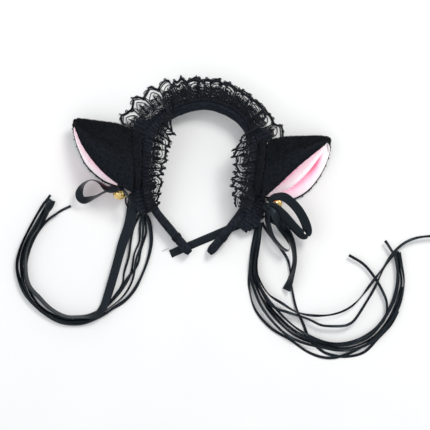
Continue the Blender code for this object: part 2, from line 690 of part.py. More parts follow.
def ear_joints(side, *tail):
    """Ear, bow, jump ring, bell and ball, each hanging on the one before."""
    centre, axis = BELL[side], BELL_AXIS[side]
    ear_pieces = "ear_plush_back", "ear_pink_lining", "ear_rim_wire"
    bow_pieces = "bow_knot", "bow_big_loop", "bow_small_loop", *tail
    bell_pieces = "bell_shank", "bell_upper_shell", "bell_lower_shell"
    last = joint(side, "ear", None, EAR_PIVOT[side], *ear_pieces)
    last = joint(side, "bow", last, KNOT[side], *bow_pieces)
    last = joint(side, "ring", last, centre + axis * (RING_Z + RING_R), "bell_jump_ring")
    last = joint(side, "bell", last, centre + axis * (RING_Z - RING_R), *bell_pieces)
    joint(side, "ball", last, centre - axis * BALL_DROP, "bell_ball")


def lift_joints(side, bundle, first):
    """Streamers from first upwards, each lifting those above it. Returns the top joint."""
    last = bundle
    for number in range(first, len(STREAMERS[side]) + 1):
        pivot = (*LIFT_PIVOT[side], streamer_z(number) - RIBBON_T / 2)
        last = joint(side, f"lift_{number}", last, pivot, f"streamer_{number}")
    return last


ear_joints("left")
ear_joints("right", "bow_tail")

left_bundle = joint("left", "bundle", None, GATHER["left"], "streamer_gather")
left_top = lift_joints("left", left_bundle, first=1)
wide_pivot = (*WIDE_LIFT_PIVOT, WIDE_STREAMER_Z - RIBBON_T / 2)
joint("left", "lift_7", left_top, wide_pivot, "wide_streamer")

# The lowest right streamer lies under the bow's tail, so it stays down with the gather
right_bundle = joint(
    "right", "bundle", None, GATHER["right"], "streamer_gather", "streamer_1"
)
lift_joints("right", right_bundle, first=2)
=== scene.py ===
"""Looks for a cat ears headband with lace frills, bows, bells and long ribbon streamers.

It lies on the table (z = 0). The hoop is open towards -y with its crown at +y, the ears point
to -x (left) and +x (right), and the streamers trail towards -y. All tables and sizes are
millimetres in the CAD's own layout, and place() turns them into the frame's metres.
"""

import math

import bmesh
import bpy
import numpy as np
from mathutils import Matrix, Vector


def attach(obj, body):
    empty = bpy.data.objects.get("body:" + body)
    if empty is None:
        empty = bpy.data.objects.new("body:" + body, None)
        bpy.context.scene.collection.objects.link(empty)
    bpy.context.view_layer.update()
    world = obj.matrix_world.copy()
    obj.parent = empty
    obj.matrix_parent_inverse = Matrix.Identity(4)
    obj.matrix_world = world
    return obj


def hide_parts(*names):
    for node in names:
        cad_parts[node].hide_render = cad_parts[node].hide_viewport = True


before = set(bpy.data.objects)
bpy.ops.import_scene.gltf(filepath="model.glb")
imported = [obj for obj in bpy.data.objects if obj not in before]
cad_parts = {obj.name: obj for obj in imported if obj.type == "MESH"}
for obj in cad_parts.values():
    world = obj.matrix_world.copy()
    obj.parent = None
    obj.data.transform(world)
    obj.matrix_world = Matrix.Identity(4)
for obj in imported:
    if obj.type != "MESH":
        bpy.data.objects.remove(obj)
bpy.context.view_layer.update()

MM = 0.001
ORIGIN = np.array((25.73, -41.93, 0.0))  # CAD point that lies at the frame's origin
TURN = 2 * math.pi
UP = np.array((0, 0, 1.0))


def place(points):
    return (np.asarray(points, float) - ORIGIN) * MM


# ---------------------------------------------------------------- materials
NOISE_ROUGHNESS = 0.55


class Shader:
    """A material with its node tree and Principled BSDF. Noise runs in object coordinates."""

    def __init__(self, name, inputs):
        self.material = bpy.data.materials.new(name)
        self.material.use_nodes = True
        self.tree = self.material.node_tree
        self.bsdf = self.tree.nodes["Principled BSDF"]
        for key, value in inputs.items():
            self.bsdf.inputs[key].default_value = value

    def add(self, kind, inputs=None, **settings):
        node = self.tree.nodes.new("ShaderNode" + kind)
        for key, value in settings.items():
            setattr(node, key, value)
        for key, value in (inputs or {}).items():
            node.inputs[key].default_value = value
        return node

    def link(self, source, target):
        self.tree.links.new(source, target)

    def feed(self, key, source):
        self.link(source, self.bsdf.inputs[key])

    def noise(self, scale, detail, stretch=None):
        coords = self.add("TexCoord").outputs["Object"]
        inputs = {"Scale": scale, "Detail": detail, "Roughness": NOISE_ROUGHNESS}
        texture = self.add("TexNoise", inputs)
        if stretch:
            mapping = self.add("Mapping", {"Scale": stretch})
            self.link(coords, mapping.inputs["Vector"])
            coords = mapping.outputs["Vector"]
        self.link(coords, texture.inputs["Vector"])
        return texture.outputs["Fac"]

    def ramp(self, factor, stops):
        """A colour ramp with stops (position, colour)."""
        node = self.add("ValToRGB")
        elements = node.color_ramp.elements
        while len(elements) < len(stops):
            elements.new(1.0)
        for k, (position, _) in enumerate(stops):
            elements[k].position = position
        for k, (_, colour) in enumerate(stops):
            elements[k].color = (*colour, 1)
        self.link(factor, node.inputs["Fac"])
        return node.outputs["Color"]

    def bump(self, height, strength, distance):
        """Bumps the surface on top of any bump already there."""
        node = self.add("Bump", {"Strength": strength, "Distance": distance})
        self.link(height, node.inputs["Height"])
        normal = self.bsdf.inputs["Normal"]
        if normal.is_linked:
            self.link(normal.links[0].from_socket, node.inputs["Normal"])
        self.link(node.outputs["Normal"], normal)

    def noise_bump(self, scale, detail, strength, distance):
        self.bump(self.noise(scale, detail), strength, distance)

    def vary_roughness(self, low, high, scale, detail):
        node = self.add("MapRange", {"To Min": low, "To Max": high})
        self.link(self.noise(scale, detail), node.inputs["Value"])
        self.feed("Roughness", node.outputs["Result"])


def velvet_material(name, base, tip, sheen):
    shader = Shader(name, {
        "Roughness": 0.92, "Sheen Weight": sheen, "Sheen Roughness": 0.45,
        "Sheen Tint": (0.55, 0.60, 0.75, 1), "Specular IOR Level": 0.06,
    })
    pile = shader.noise(scale=420, detail=4)
    shader.feed("Base Color", shader.ramp(pile, stops=[(0.35, base), (0.7, tip)]))
    shader.noise_bump(scale=1500, detail=2, strength=0.6, distance=0.0004)
    shader.noise_bump(scale=160, detail=3, strength=0.5, distance=0.0008)
    return shader.material


def satin_material():
    """Weft ribs across the ribbon, from the UV's length in mm, and duller selvedges."""
    rib_pitch = 0.42
    shader = Shader("satin_ribbon", {
        "Roughness": 0.34, "Anisotropic": 0.55, "Specular IOR Level": 0.26,
        "Specular Tint": (0.70, 0.87, 1.0, 1),
        "Sheen Weight": 0.02, "Sheen Tint": (0.7, 0.75, 0.9, 1),
    })
    uv = shader.add("UVMap", uv_map="cloth")
    split = shader.add("SeparateXYZ")
    shader.link(uv.outputs["UV"], split.inputs["Vector"])
    phase = shader.add("Math", {1: TURN / rib_pitch}, operation="MULTIPLY")
    shader.link(split.outputs["X"], phase.inputs[0])
    ribs = shader.add("Math", operation="SINE")
    shader.link(phase.outputs[0], ribs.inputs[0])
    edge = shader.add("Math", operation="ABSOLUTE")
    shader.link(split.outputs["Y"], edge.inputs[0])
    shader.feed("Base Color", shader.ramp(edge.outputs[0], stops=[
        (0.0, (0.0042, 0.0060, 0.0085)), (0.84, (0.0050, 0.0070, 0.0098)),
        (0.93, (0.012, 0.016, 0.022)), (1.0, (0.005, 0.007, 0.0095)),
    ]))
    shader.vary_roughness(low=0.24, high=0.38, scale=60, detail=3)
    shader.bump(ribs.outputs[0], strength=0.35, distance=0.00006)
    shader.noise_bump(scale=90, detail=2, strength=0.25, distance=0.0005)
    return shader.material


def lace_material():
    shader = Shader("lace_thread", {
        "Roughness": 0.7, "Sheen Weight": 0.03, "Specular IOR Level": 0.10})
    shader.feed("Base Color", shader.ramp(shader.noise(scale=900, detail=2), stops=[
        (0.3, (0.0045, 0.0055, 0.0078)), (0.75, (0.016, 0.0195, 0.027))]))
    shader.noise_bump(scale=2600, detail=1, strength=0.7, distance=0.0002)
    return shader.material


def lining_material():
    """Pink pile, coloured by painted shade from the mesh. Its emission is painted light, a glow the
    pile gives off itself to keep the pale pink bright.
    """
    shader = Shader("pink_lining_pile", {
        "Roughness": 0.85, "Emission Strength": 0.24,
        "Sheen Weight": 0.6, "Sheen Roughness": 0.4, "Sheen Tint": (1.0, 0.86, 0.9, 1),
        "Subsurface Weight": 0.12, "Subsurface Radius": (0.002, 0.001, 0.001),
    })
    painted_shade = shader.add("Attribute", attribute_name="painted_shade")
    # the pink deepens from near white as the painted shade rises
    colour = shader.ramp(painted_shade.outputs["Fac"], stops=[
        (0.0, (1.0, 0.955, 0.975)), (0.25, (0.99, 0.78, 0.86)), (0.55, (0.96, 0.47, 0.62)),
        (0.8, (0.86, 0.27, 0.40)), (1.0, (0.70, 0.17, 0.27)),
    ])
    mix = shader.add("Mix", {"Factor": 1.0}, data_type="RGBA", blend_type="MULTIPLY")
    shader.link(colour, mix.inputs["A"])
    shade = shader.ramp(shader.noise(scale=700, detail=3), stops=[
        (0.3, (0.93, 0.90, 0.91)), (0.7, (1, 1, 1))])
    shader.link(shade, mix.inputs["B"])
    shader.feed("Base Color", mix.outputs["Result"])
    # painted light: the lining glows in its own colour
    shader.feed("Emission Color", mix.outputs["Result"])
    shader.noise_bump(scale=1300, detail=2, strength=0.5, distance=0.0003)
    return shader.material


def fur_material():
    """Fibres, paler towards the tip as a painted highlight."""
    shader = Shader("plush_fibre", {
        "Roughness": 0.8, "Sheen Weight": 0.06, "Specular IOR Level": 0.08})
    tip = shader.add("Attribute", attribute_name="tip")
    shader.feed("Base Color", shader.ramp(tip.outputs["Fac"], stops=[
        (0.0, (0.0030, 0.0037, 0.0050)), (0.6, (0.0100, 0.0125, 0.0170)),
        (1.0, (0.038, 0.045, 0.060)),
    ]))
    return shader.material


def gold_material():
    shader = Shader("gold_plate", {"Roughness": 0.2, "Metallic": 1.0})
    shader.feed("Base Color", shader.ramp(shader.noise(scale=260, detail=4), stops=[
        (0.25, (0.78, 0.50, 0.16)), (0.6, (0.93, 0.69, 0.28)), (0.85, (1.0, 0.84, 0.48))]))
    shader.vary_roughness(low=0.12, high=0.34, scale=500, detail=3)
    shader.noise_bump(scale=120, detail=2, strength=0.15, distance=0.0006)
    return shader.material


def steel_material():
    shader = Shader("spring_steel", {"Roughness": 0.35, "Metallic": 1.0})
    streaks = shader.noise(scale=300, detail=3, stretch=(1, 1, 12))
    shader.feed("Base Color", shader.ramp(streaks, stops=[
        (0.3, (0.40, 0.41, 0.43)), (0.7, (0.62, 0.63, 0.65))]))
    shader.noise_bump(scale=900, detail=2, strength=0.2, distance=0.0001)
    return shader.material


def floor_material():
    shader = Shader("studio_paper", {"Roughness": 0.75, "Specular IOR Level": 0.2})
    shader.feed("Base Color", shader.ramp(shader.noise(scale=9, detail=2), stops=[
        (0.3, (0.885, 0.885, 0.89)), (0.7, (0.905, 0.905, 0.905))]))
    shader.noise_bump(scale=900, detail=2, strength=0.03, distance=0.0002)
    return shader.material


VELVET = velvet_material(
    "velvet_pile", base=(0.0065, 0.0080, 0.0115), tip=(0.019, 0.024, 0.034), sheen=0.16)
GATHERED = velvet_material(
    "gathered_cloth", base=(0.0068, 0.0085, 0.0120), tip=(0.022, 0.028, 0.038), sheen=0.20)
SATIN = satin_material()
LACE = lace_material()
PINK = lining_material()
PLUSH = velvet_material(
    "plush_ground", base=(0.0040, 0.0050, 0.0070), tip=(0.012, 0.015, 0.020), sheen=0.10)
FUR = fur_material()
GOLD = gold_material()
STEEL = steel_material()
FLOOR = floor_material()

# ---------------------------------------------------------------- curves and directions


def unit(vectors):
    return vectors / np.maximum(np.linalg.norm(vectors, axis=-1, keepdims=True), 1e-12)


def tangents(path):
    return unit(np.gradient(path[:, :3], axis=0))


def lengths(path):
    """Distance run along a path, at each of its points."""
    steps = np.linalg.norm(np.diff(path[:, :3], axis=0), axis=1)
    return np.concatenate([[0], np.cumsum(steps)])


def square_to(direction, tangent):
    return unit(direction - tangent * np.sum(direction * tangent, axis=1, keepdims=True))


def interp_rows(at, knots, rows):
    return np.stack([np.interp(at, knots, rows[:, k]) for k in range(rows.shape[1])], axis=-1)


def spline(stations, count):
    """count + 1 evenly spaced rows on a smooth curve through stations (x, y, z and more)."""
    rows = np.array(stations, float)
    rows = np.vstack([2 * rows[0] - rows[1], rows, 2 * rows[-1] - rows[-2]])
    fine = []
    for i in range(1, len(rows) - 2):
        before, start, end, after = rows[i - 1 : i + 3]
        linear = end - before
        square = 2 * before - 5 * start + 4 * end - after
        cube = 3 * start - before - 3 * end + after
        for k in range(24):
            t = k / 24.0
            fine.append(0.5 * (2 * start + linear * t + square * t * t + cube * t**3))
    fine.append(rows[-2])
    fine = np.array(fine)
    run = lengths(fine)
    return interp_rows(np.linspace(0, run[-1], count + 1), run, fine)


def smoothstep(x):
    return x * x * (3 - 2 * x)


def hump(value, centre, spread):
    """A bell curve, 1 at the centre."""
    return np.exp(-(((value - centre) / spread) ** 2))


def smooth_noise(count, scale, seed, amp=1.0):
    """A wandering line of values, in about -amp to amp, changing over scale samples."""
    knots = np.random.default_rng(seed).uniform(-1, 1, int(count / scale) + 4)
    x = np.arange(count) / scale
    i = x.astype(int)
    blend = smoothstep(x - i)
    return amp * (knots[i] * (1 - blend) + knots[i + 1] * blend)


def circle(count):
    return np.linspace(0, TURN, count, endpoint=False)


def squared_circle(angles, exponent):
    """x and y of a unit superellipse."""
    x, y = np.cos(angles), np.sin(angles)
    return np.sign(x) * np.abs(x) ** exponent, np.sign(y) * np.abs(y) ** exponent


class Pose:
    """A place with three axes of its own."""

    def __init__(self, origin, axes):
        self.origin, self.axes = origin, axes

    def at(self, *local):
        point = self.origin
        for value, axis in zip(local, self.axes):
            point = point + np.asarray(value, float)[..., None] * axis
        return point


# ---------------------------------------------------------------- meshes


def shade_smooth(mesh):
    mesh.polygons.foreach_set("use_smooth", [True] * len(mesh.polygons))


def face_outward(obj):
    bm = bmesh.new()
    bm.from_mesh(obj.data)
    bmesh.ops.recalc_face_normals(bm, faces=bm.faces)
    bm.to_mesh(obj.data)
    bm.free()
    return obj


def link_mesh(name, verts, faces):
    """An object from millimetre points."""
    mesh = bpy.data.meshes.new(name)
    mesh.from_pydata(place(verts).tolist(), [], faces)
    mesh.update()
    obj = bpy.data.objects.new(name, mesh)
    bpy.context.scene.collection.objects.link(obj)
    return obj


def build(name, verts, faces, material, body, slot, replaces=None, uv=None, attrs=None):
    """A finished piece, riding on a body."""
    verts = np.array(verts, float)
    # points below 0.15 are squeezed into the gap above the table
    x, y, z = verts.T
    verts[:, 2] = np.where(z < 0.15, 0.05 + 0.1 * np.exp(np.minimum(z - 0.15, 0) * 4), z)
    obj = link_mesh(name, verts, faces)
    mesh = obj.data
    shade_smooth(mesh)
    if uv is not None:
        layer = mesh.uv_layers.new(name="cloth")
        corners = np.empty(len(mesh.loops), np.int32)
        mesh.loops.foreach_get("vertex_index", corners)
        layer.data.foreach_set("uv", np.asarray(uv, np.float32)[corners].ravel())
    for key, values in (attrs or {}).items():
        attribute = mesh.attributes.new(key, "FLOAT", "POINT")
        attribute.data.foreach_set("value", np.asarray(values, np.float32))
    mesh.materials.append(material)
    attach(obj, body)
    if replaces:
        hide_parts(replaces)
    return obj


def loop_grid(rings, cyclic=False):
    """Verts and faces of a tube of closed rings (n, m, 3), capped unless it is cyclic."""
    count, sides = rings.shape[:2]
    i = np.arange(count if cyclic else count - 1)[:, None]
    j = np.arange(sides)[None, :]
    next_i, next_j = (i + 1) % count, (j + 1) % sides
    corners = [i * sides + j, i * sides + next_j, next_i * sides + next_j, next_i * sides + j]
    faces = np.stack(corners, axis=-1).reshape(-1, 4).tolist()
    if not cyclic:
        faces.append(list(range(sides))[::-1])
        faces.append([(count - 1) * sides + k for k in range(sides)])
    return rings.reshape(-1, 3), faces


def build_rings(name, rings, material, body, slot, replaces=None, cyclic=False, **layers):
    verts, faces = loop_grid(rings, cyclic)
    return face_outward(build(name, verts, faces, material, body, slot, replaces, **layers))


def join_parts(parts):
    all_verts, all_faces, base = [], [], 0
    for verts, faces in parts:
        all_verts.append(verts)
        all_faces += [[i + base for i in face] for face in faces]
        base += len(verts)
    return np.concatenate(all_verts), all_faces


def tube_rings(path, radius, sides, cyclic):
    """Rings round a polyline, square to the line's own flattest plane."""
    path = np.asarray(path, float)
    if cyclic:
        tangent = unit(np.roll(path, -1, 0) - np.roll(path, 1, 0))
    else:
        tangent = tangents(path)
    flattest = np.linalg.svd(path - path.mean(0))[2][-1]
    normal = unit(np.cross(tangent, flattest))[:, None]
    binormal = np.cross(tangent, normal[:, 0])[:, None]
    angle = circle(sides)[None, :, None]
    return path[:, None] + radius * (np.cos(angle) * normal + np.sin(angle) * binormal)


def build_tubes(name, lines, material, body, slot, replaces=None):
    """One piece from tubes (points, radius, sides, cyclic)."""
    parts = [loop_grid(tube_rings(*line), line[3]) for line in lines]
    build(name, *join_parts(parts), material, body, slot, replaces)


# sides of a three-sided rod: verts 0-2 round its start and 3-5 round its end
ROD_SIDES = [(0, 1, 4, 3), (1, 2, 5, 4), (2, 0, 3, 5)]


def repeat_faces(patterns, count, stride):
    offsets = (np.arange(count) * stride)[:, None]
    return [face for pattern in patterns for face in (offsets + np.array([pattern])).tolist()]


def rods(starts, ends, radius):
    """Verts and faces of closed three-sided rods."""
    tangent = unit(ends - starts)
    steep = np.abs(tangent[:, 2:3]) > 0.9
    side = unit(np.cross(tangent, np.where(steep, np.array([[1.0, 0, 0]]), UP[None])))
    other = np.cross(tangent, side)
    angle = circle(3)[None, :, None]
    ring = radius * (np.cos(angle) * side[:, None] + np.sin(angle) * other[:, None])
    verts = np.concatenate([starts[:, None] + ring, ends[:, None] + ring], axis=1)
    faces = repeat_faces(ROD_SIDES + [(2, 1, 0), (3, 4, 5)], len(starts), 6)
    return verts.reshape(-1, 3), faces


def fold_back(top, bottom):
    """Closed rings out across the top of a sheet and back across its bottom."""
    return np.concatenate([top, bottom[:, ::-1]], axis=1)


def uv_grid(along, across):
    return np.stack(np.broadcast_arrays(along[:, None], across[None]), -1).reshape(-1, 2)


def ribbon(name, path, width_dir, width, thick, body, replaces=None, cup=0.0, lanes=7):
    """A satin ribbon along a path. cup bows it across its width."""
    tangent = tangents(path)
    width_dir = square_to(width_dir, tangent)
    normal = np.cross(tangent, width_dir)[:, None]
    across = np.linspace(-1, 1, lanes)
    half = (width / 2 * np.ones(len(path)))[:, None]
    bow = (cup * np.ones(len(path)))[:, None] * (across * across - 0.4)
    selvedge = thick * (0.5 + 0.18 * (np.abs(across) > 0.9))
    middle = path[:, None] + width_dir[:, None] * (half * across)[..., None]
    middle = middle + normal * bow[..., None]
    rings = fold_back(middle + normal * selvedge[:, None], middle - normal * selvedge[:, None])
    uv = uv_grid(lengths(path), np.concatenate([across, across[::-1]]))
    build_rings(name, rings, SATIN, body, "satin", replaces, uv=uv)


def grid_normals(grid):
    return unit(np.cross(np.gradient(grid, axis=0), np.gradient(grid, axis=1)))


def cloth_sheet(name, grid, push, thick, replaces=None):
    """A gathered sheet through grid (n, m, 3), pushed along its own normal by push (n, m)."""
    middle = grid + grid_normals(grid) * push[..., None]
    middle[..., 2] = np.maximum(middle[..., 2], 0.3 + thick / 2)
    offset = grid_normals(middle) * thick / 2
    rings = fold_back(middle + offset, middle - offset)
    build_rings(name, rings, GATHERED, "headband", "velvet", replaces)


# ---------------------------------------------------------------- hoop
# x, y, and the lean of the band's width from upright, outward, in degrees; left end to right
HOOP = [
    (-10, -78, 44), (-29, -55, 42), (-45, -34, 36), (-53, -12, 16), (-54.5, 13, 10),
    (-47, 40, 20), (-26.5, 59.5, 34), (5, 68, 36), (33, 58.5, 34), (48, 41.5, 20),
    (55, 19, 10), (54, -7, 16), (45, -31, 36), (29, -54, 42), (9, -78, 44),
]
SAMPLES = 480
BAND_WIDTH, BAND_THICK = 10.0, 4.6
TIP_SAMPLES = int(SAMPLES * 4.0 / 72)  # length of the folded velvet at each end

# the band rises a little towards the crown
hoop = spline([(x, y, 6.6 + 0.07 * (y + 78), lean) for x, y, lean in HOOP], SAMPLES)
hoop_line = hoop[:, :3]
hoop_lean = np.radians(hoop[:, 3])[:, None]
hoop_length = lengths(hoop)[-1]
hoop_tangent = tangents(hoop)
hoop_out = unit(np.cross(UP, hoop_tangent))
hoop_out *= np.sign(np.sum(hoop_out * (hoop_line - hoop_line.mean(0)), axis=1))[:, None]
hoop_wide = square_to(np.cos(hoop_lean) * UP + np.sin(hoop_lean) * hoop_out, hoop_tangent)
hoop_normal = np.cross(hoop_tangent, hoop_wide)
hoop_normal *= np.sign(np.sum(hoop_normal * hoop_out, axis=1))[:, None]


def along_hoop(samples, *tracks):
    return [interp_rows(samples, np.arange(SAMPLES + 1), track) for track in tracks]


def hoop_frame(samples):
    """Centre line, width, outward and tangent directions."""
    line, wide, out, tangent = along_hoop(
        samples, hoop_line, hoop_wide, hoop_out, hoop_tangent)
    return line, wide, unit(out), tangent


def band_rings(first, last, grow, power, puff, seed, closed_end=None):
    """Wrinkled superellipse rings on samples first..last, drawn in at a closed end."""
    samples = np.arange(first, last + 1)
    count = len(samples)
    angle = circle(40)
    x, y = squared_circle(angle, 2 / power)
    wrinkle = smooth_noise(count, 9, seed, puff)[:, None] * np.cos(angle)
    ripple = smooth_noise(count, 5, seed + 9, puff * 0.8)[:, None] * np.sin(2 * angle + 0.6)
    size = np.ones(count)
    rounded = min(14, count // 3)
    curve = np.sqrt(1 - (1 - np.linspace(0.12, 1, rounded)) ** 2)
    if closed_end == "first":
        size[:rounded] = curve
    if closed_end == "last":
        size[-rounded:] = curve[::-1]
    size = (0.25 + 0.75 * size)[:, None]
    wide = (BAND_WIDTH + grow) / 2 * x * size
    thick = ((BAND_THICK + grow) / 2 * y + wrinkle + ripple) * size
    return (
        hoop_line[samples, None]
        + hoop_wide[samples, None] * wide[..., None]
        + hoop_normal[samples, None] * thick[..., None]
    )


def tip_stitches(side, sample):
    """Whip stitches round the band where the folded velvet is sewn down."""
    count, grow = 22, 0.42
    x, y = squared_circle(circle(count), 0.62)

    def ring(i):
        wide = hoop_wide[i] * ((BAND_WIDTH / 2 + grow) * x)[:, None]
        return hoop_line[i] + wide + hoop_normal[i] * ((BAND_THICK / 2 + grow) * y)[:, None]

    before, after = ring(sample - 3), ring(sample + 3)
    stitches = []
    for j in range(count):
        start, end = before[j], after[(j + 1) % count]
        middle = (start + end) / 2
        middle = middle + unit(middle - hoop_line[sample]) * 0.25
        stitches.append((np.array([start, middle, end]), 0.22, 5, False))
    build_tubes(f"{side}_tip_stitches", stitches, LACE, "headband", "velvet")


def velvet_tip(side, first, last, seed, closed_end, seam):
    rings = band_rings(
        first, last, grow=0.7, power=2.7, puff=0.22, seed=seed, closed_end=closed_end)
    build_rings(
        f"{side}_velvet_tip", rings, VELVET, "headband", "velvet", f"{side}_end_wrap")
    tip_stitches(side, seam)


right_tip = SAMPLES - TIP_SAMPLES
band = band_rings(TIP_SAMPLES - 3, right_tip + 3, grow=0.2, power=3.2, puff=0.16, seed=3)
build_rings("velvet_band", band, VELVET, "headband", "velvet", "velvet_cover")
velvet_tip("left", 0, TIP_SAMPLES, seed=21, closed_end="first", seam=TIP_SAMPLES)
velvet_tip("right", right_tip, SAMPLES, seed=33, closed_end="last", seam=right_tip)

# ---------------------------------------------------------------- gathered cloth
# Pleats between the band and the ears: share of the hoop, lean outward in degrees, width
UPPER_RUFFLE = [
    (0.146, 84, 10), (0.17, 84, 14), (0.19, 82, 16.5), (0.22, 82, 11), (0.31, 88, 12),
    (0.325, 94, 14), (0.337, 97, 17), (0.347, 97, 19), (0.356, 96, 19), (0.372, 84, 8),
    (0.40, 84, 7), (0.62, 82, 7), (0.64, 82, 8), (0.655, 88, 12), (0.665, 97, 19),
    (0.676, 97, 18), (0.688, 94, 11), (0.72, 90, 10), (0.795, 84, 9.5), (0.82, 84, 14.5),
    (0.85, 86, 18.5), (0.878, 90, 18), (0.90, 92, 12),
]
LOWER_RUFFLE = [
    (0.150, 94, 12), (0.18, 94, 14), (0.215, 94, 11), (0.33, 96, 11), (0.37, 94, 8),
    (0.40, 94, 6.5), (0.62, 94, 6.5), (0.64, 94, 8), (0.665, 96, 12), (0.795, 94, 11),
    (0.82, 94, 14), (0.870, 94, 12.5),
]


def ruffle_layer(name, stations, root_up, root_out, pleat, amp, seed, replaces=None):
    """Pleated cloth rooted root_up along the band's width and root_out from its centre line."""
    shares, leans, widths = np.array(stations, float).T
    count = int((shares[-1] - shares[0]) * hoop_length / 0.34)
    share = np.linspace(shares[0], shares[-1], count)
    line, wide, out, tangent = hoop_frame(share * SAMPLES)
    lean = np.radians(np.interp(share, shares, leans) + smooth_noise(count, 26, seed, 4.0))
    phase = share * hoop_length * TURN / pleat + smooth_noise(count, 24, seed + 1, 1.7)
    width = np.interp(share, shares, widths)
    width = width * (1 + 0.05 * np.sin(phase * 0.5) + smooth_noise(count, 18, seed + 2, 0.05))
    reach = np.linspace(0, 1, 16)[None, :]
    direction = np.cos(lean)[:, None] * UP + np.sin(lean)[:, None] * out
    root = (line + wide * root_up + out * root_out)[:, None]
    grid = root + direction[:, None] * (width[:, None] * reach)[..., None]
    grid = grid + tangent[:, None] * (0.7 * reach * np.sin(phase + 1.2)[:, None])[..., None]
    grid = grid + UP * (-0.9 * reach**2)[..., None]  # the free edge droops
    slant = phase[:, None] + 0.9 * reach + smooth_noise(count, 30, seed + 3, 0.7)[:, None]
    push = amp * (0.45 + 0.75 * reach) * (np.sin(slant) + 0.35 * np.sin(2 * slant + 1.0))
    cloth_sheet(name, grid, push, 0.55, replaces)


def gathered_roll():
    """A lumpy roll against the band, so that no light shows behind the pleats."""
    count = 420
    samples = np.linspace(0.150, 0.868, count) * SAMPLES
    line, wide, normal = along_hoop(samples, hoop_line, hoop_wide, hoop_normal)
    wide, normal = unit(wide), unit(normal)
    lumps = 1 + 0.10 * np.sin(np.arange(count) * 1.9) + smooth_noise(count, 6, 77, 0.10)
    rings = []
    for angle in circle(18):
        outward = BAND_THICK / 2 + 1.3 + math.sin(angle) * 1.5 * lumps
        upward = math.cos(angle) * 5.0 * lumps
        rings.append(line + wide * upward[:, None] + normal * outward[:, None])
    rings = np.stack(rings, axis=1)
    build_rings("gathered_roll", rings, GATHERED, "headband", "velvet")


ruffle_layer("gathered_ruffle_upper", UPPER_RUFFLE, root_up=0.6, root_out=2.4, pleat=3.3,
             amp=0.85, seed=5, replaces="gathered_heading")
ruffle_layer("gathered_ruffle_lower", LOWER_RUFFLE, root_up=-2.8, root_out=2.6, pleat=4.1,
             amp=0.7, seed=25)
gathered_roll()

# ---------------------------------------------------------------- lace
# share of the hoop, lean from upright in degrees (outward is positive), width
FRONT_FRILL = [
    (0.145, -50, 11), (0.18, -57, 16), (0.24, -59, 22.5), (0.33, -61, 25.5), (0.385, -50, 26),
    (0.422, 5, 25), (0.453, 50, 22), (0.50, 60, 20.5), (0.59, 60, 20.5), (0.628, 48, 22),
    (0.654, -10, 24), (0.676, -55, 25.5), (0.80, -60, 26), (0.855, -50, 18),
]
BACK_FRILL = [
    (0.336, 94, 37), (0.38, 97, 40.5), (0.42, 99, 40), (0.46, 100, 36.5), (0.50, 100, 34),
    (0.56, 100, 32), (0.61, 99, 29.5), (0.65, 94, 32), (0.680, 92, 35),
]
# share of the hoop, width of the solid cloth at the frill's root
FRONT_ROOT = [
    (0.14, 7), (0.2, 9.5), (0.36, 9.5), (0.42, 6), (0.46, 2.4), (0.62, 2.4), (0.66, 6),
    (0.70, 9.5), (0.8, 9.5), (0.86, 7),
]
BACK_ROOT = [(0.3, 2), (0.7, 2)]
DEPTH = 26.0  # pattern depth of the lace, from root to free edge
FAN_ROOT = DEPTH - 15.8


class Frill:
    """A ruffled strip off the hoop. at(s, y) maps the cloth's length and depth to space.

    full is cloth length over hoop length, sway the ruffles' swing along the hoop, limp the
    wander of the lean in degrees.
    """

    def __init__(self, stations, root_up, root_out, waves, amp, seed, z_floor, full, sway, limp):
        self.shares, self.leans, self.widths = np.array(stations, float).T
        self.root_up, self.root_out, self.waves, self.amp = root_up, root_out, waves, amp
        self.z_floor, self.sway, self.limp = z_floor, sway, limp
        self.start, self.end = self.shares[0], self.shares[-1]
        self.run = (self.end - self.start) * hoop_length
        self.cloth = self.run * full
        self.wave_wander = smooth_noise(2000, 70, seed)
        self.lean_wander = smooth_noise(2000, 30, seed + 1)

    def at(self, s, y):
        s, y = np.asarray(s, float), np.asarray(y, float)
        part = np.clip(s / self.cloth, 0, 1)
        reach = np.clip(y / DEPTH, 0, 1.2)
        wander = np.interp(part, np.linspace(0, 1, 2000), self.wave_wander)
        limp = np.interp(part, np.linspace(0, 1, 2000), self.lean_wander)
        phase = TURN * self.waves * part + 1.3 * wander
        share = self.start + (self.end - self.start) * part
        sway = self.sway * reach * np.sin(phase + 1.1) + 0.5 * reach * np.sin(2 * phase)
        samples = np.clip(share * SAMPLES + sway * SAMPLES / hoop_length, 0, SAMPLES)
        line, wide, out, tangent = hoop_frame(samples)
        lean = np.interp(share, self.shares, self.leans) + self.limp * limp * reach
        lean = np.radians(lean)
        width = np.interp(share, self.shares, self.widths)
        curl = 0.22 * reach  # the free edge falls a little further
        lean = lean + np.sign(lean) * curl
        direction = np.cos(lean)[..., None] * UP + np.sin(lean)[..., None] * out
        normal = unit(np.cross(tangent, direction))
        shape = np.sin(phase) + 0.28 * np.sin(2 * phase + 1.7 * wander)
        wave = self.amp * (reach**0.8) * shape
        point = line + wide * self.root_up + out * self.root_out
        point = point + direction * (width * reach)[..., None] + normal * wave[..., None]
        point[..., 2] = np.maximum(point[..., 2], self.z_floor)
        return point


def scallop_edge(t):
    """Depth of the scalloped edge at share t of a scallop."""
    return DEPTH - 3.6 + 3.5 * math.sin(math.pi * t) ** 0.7


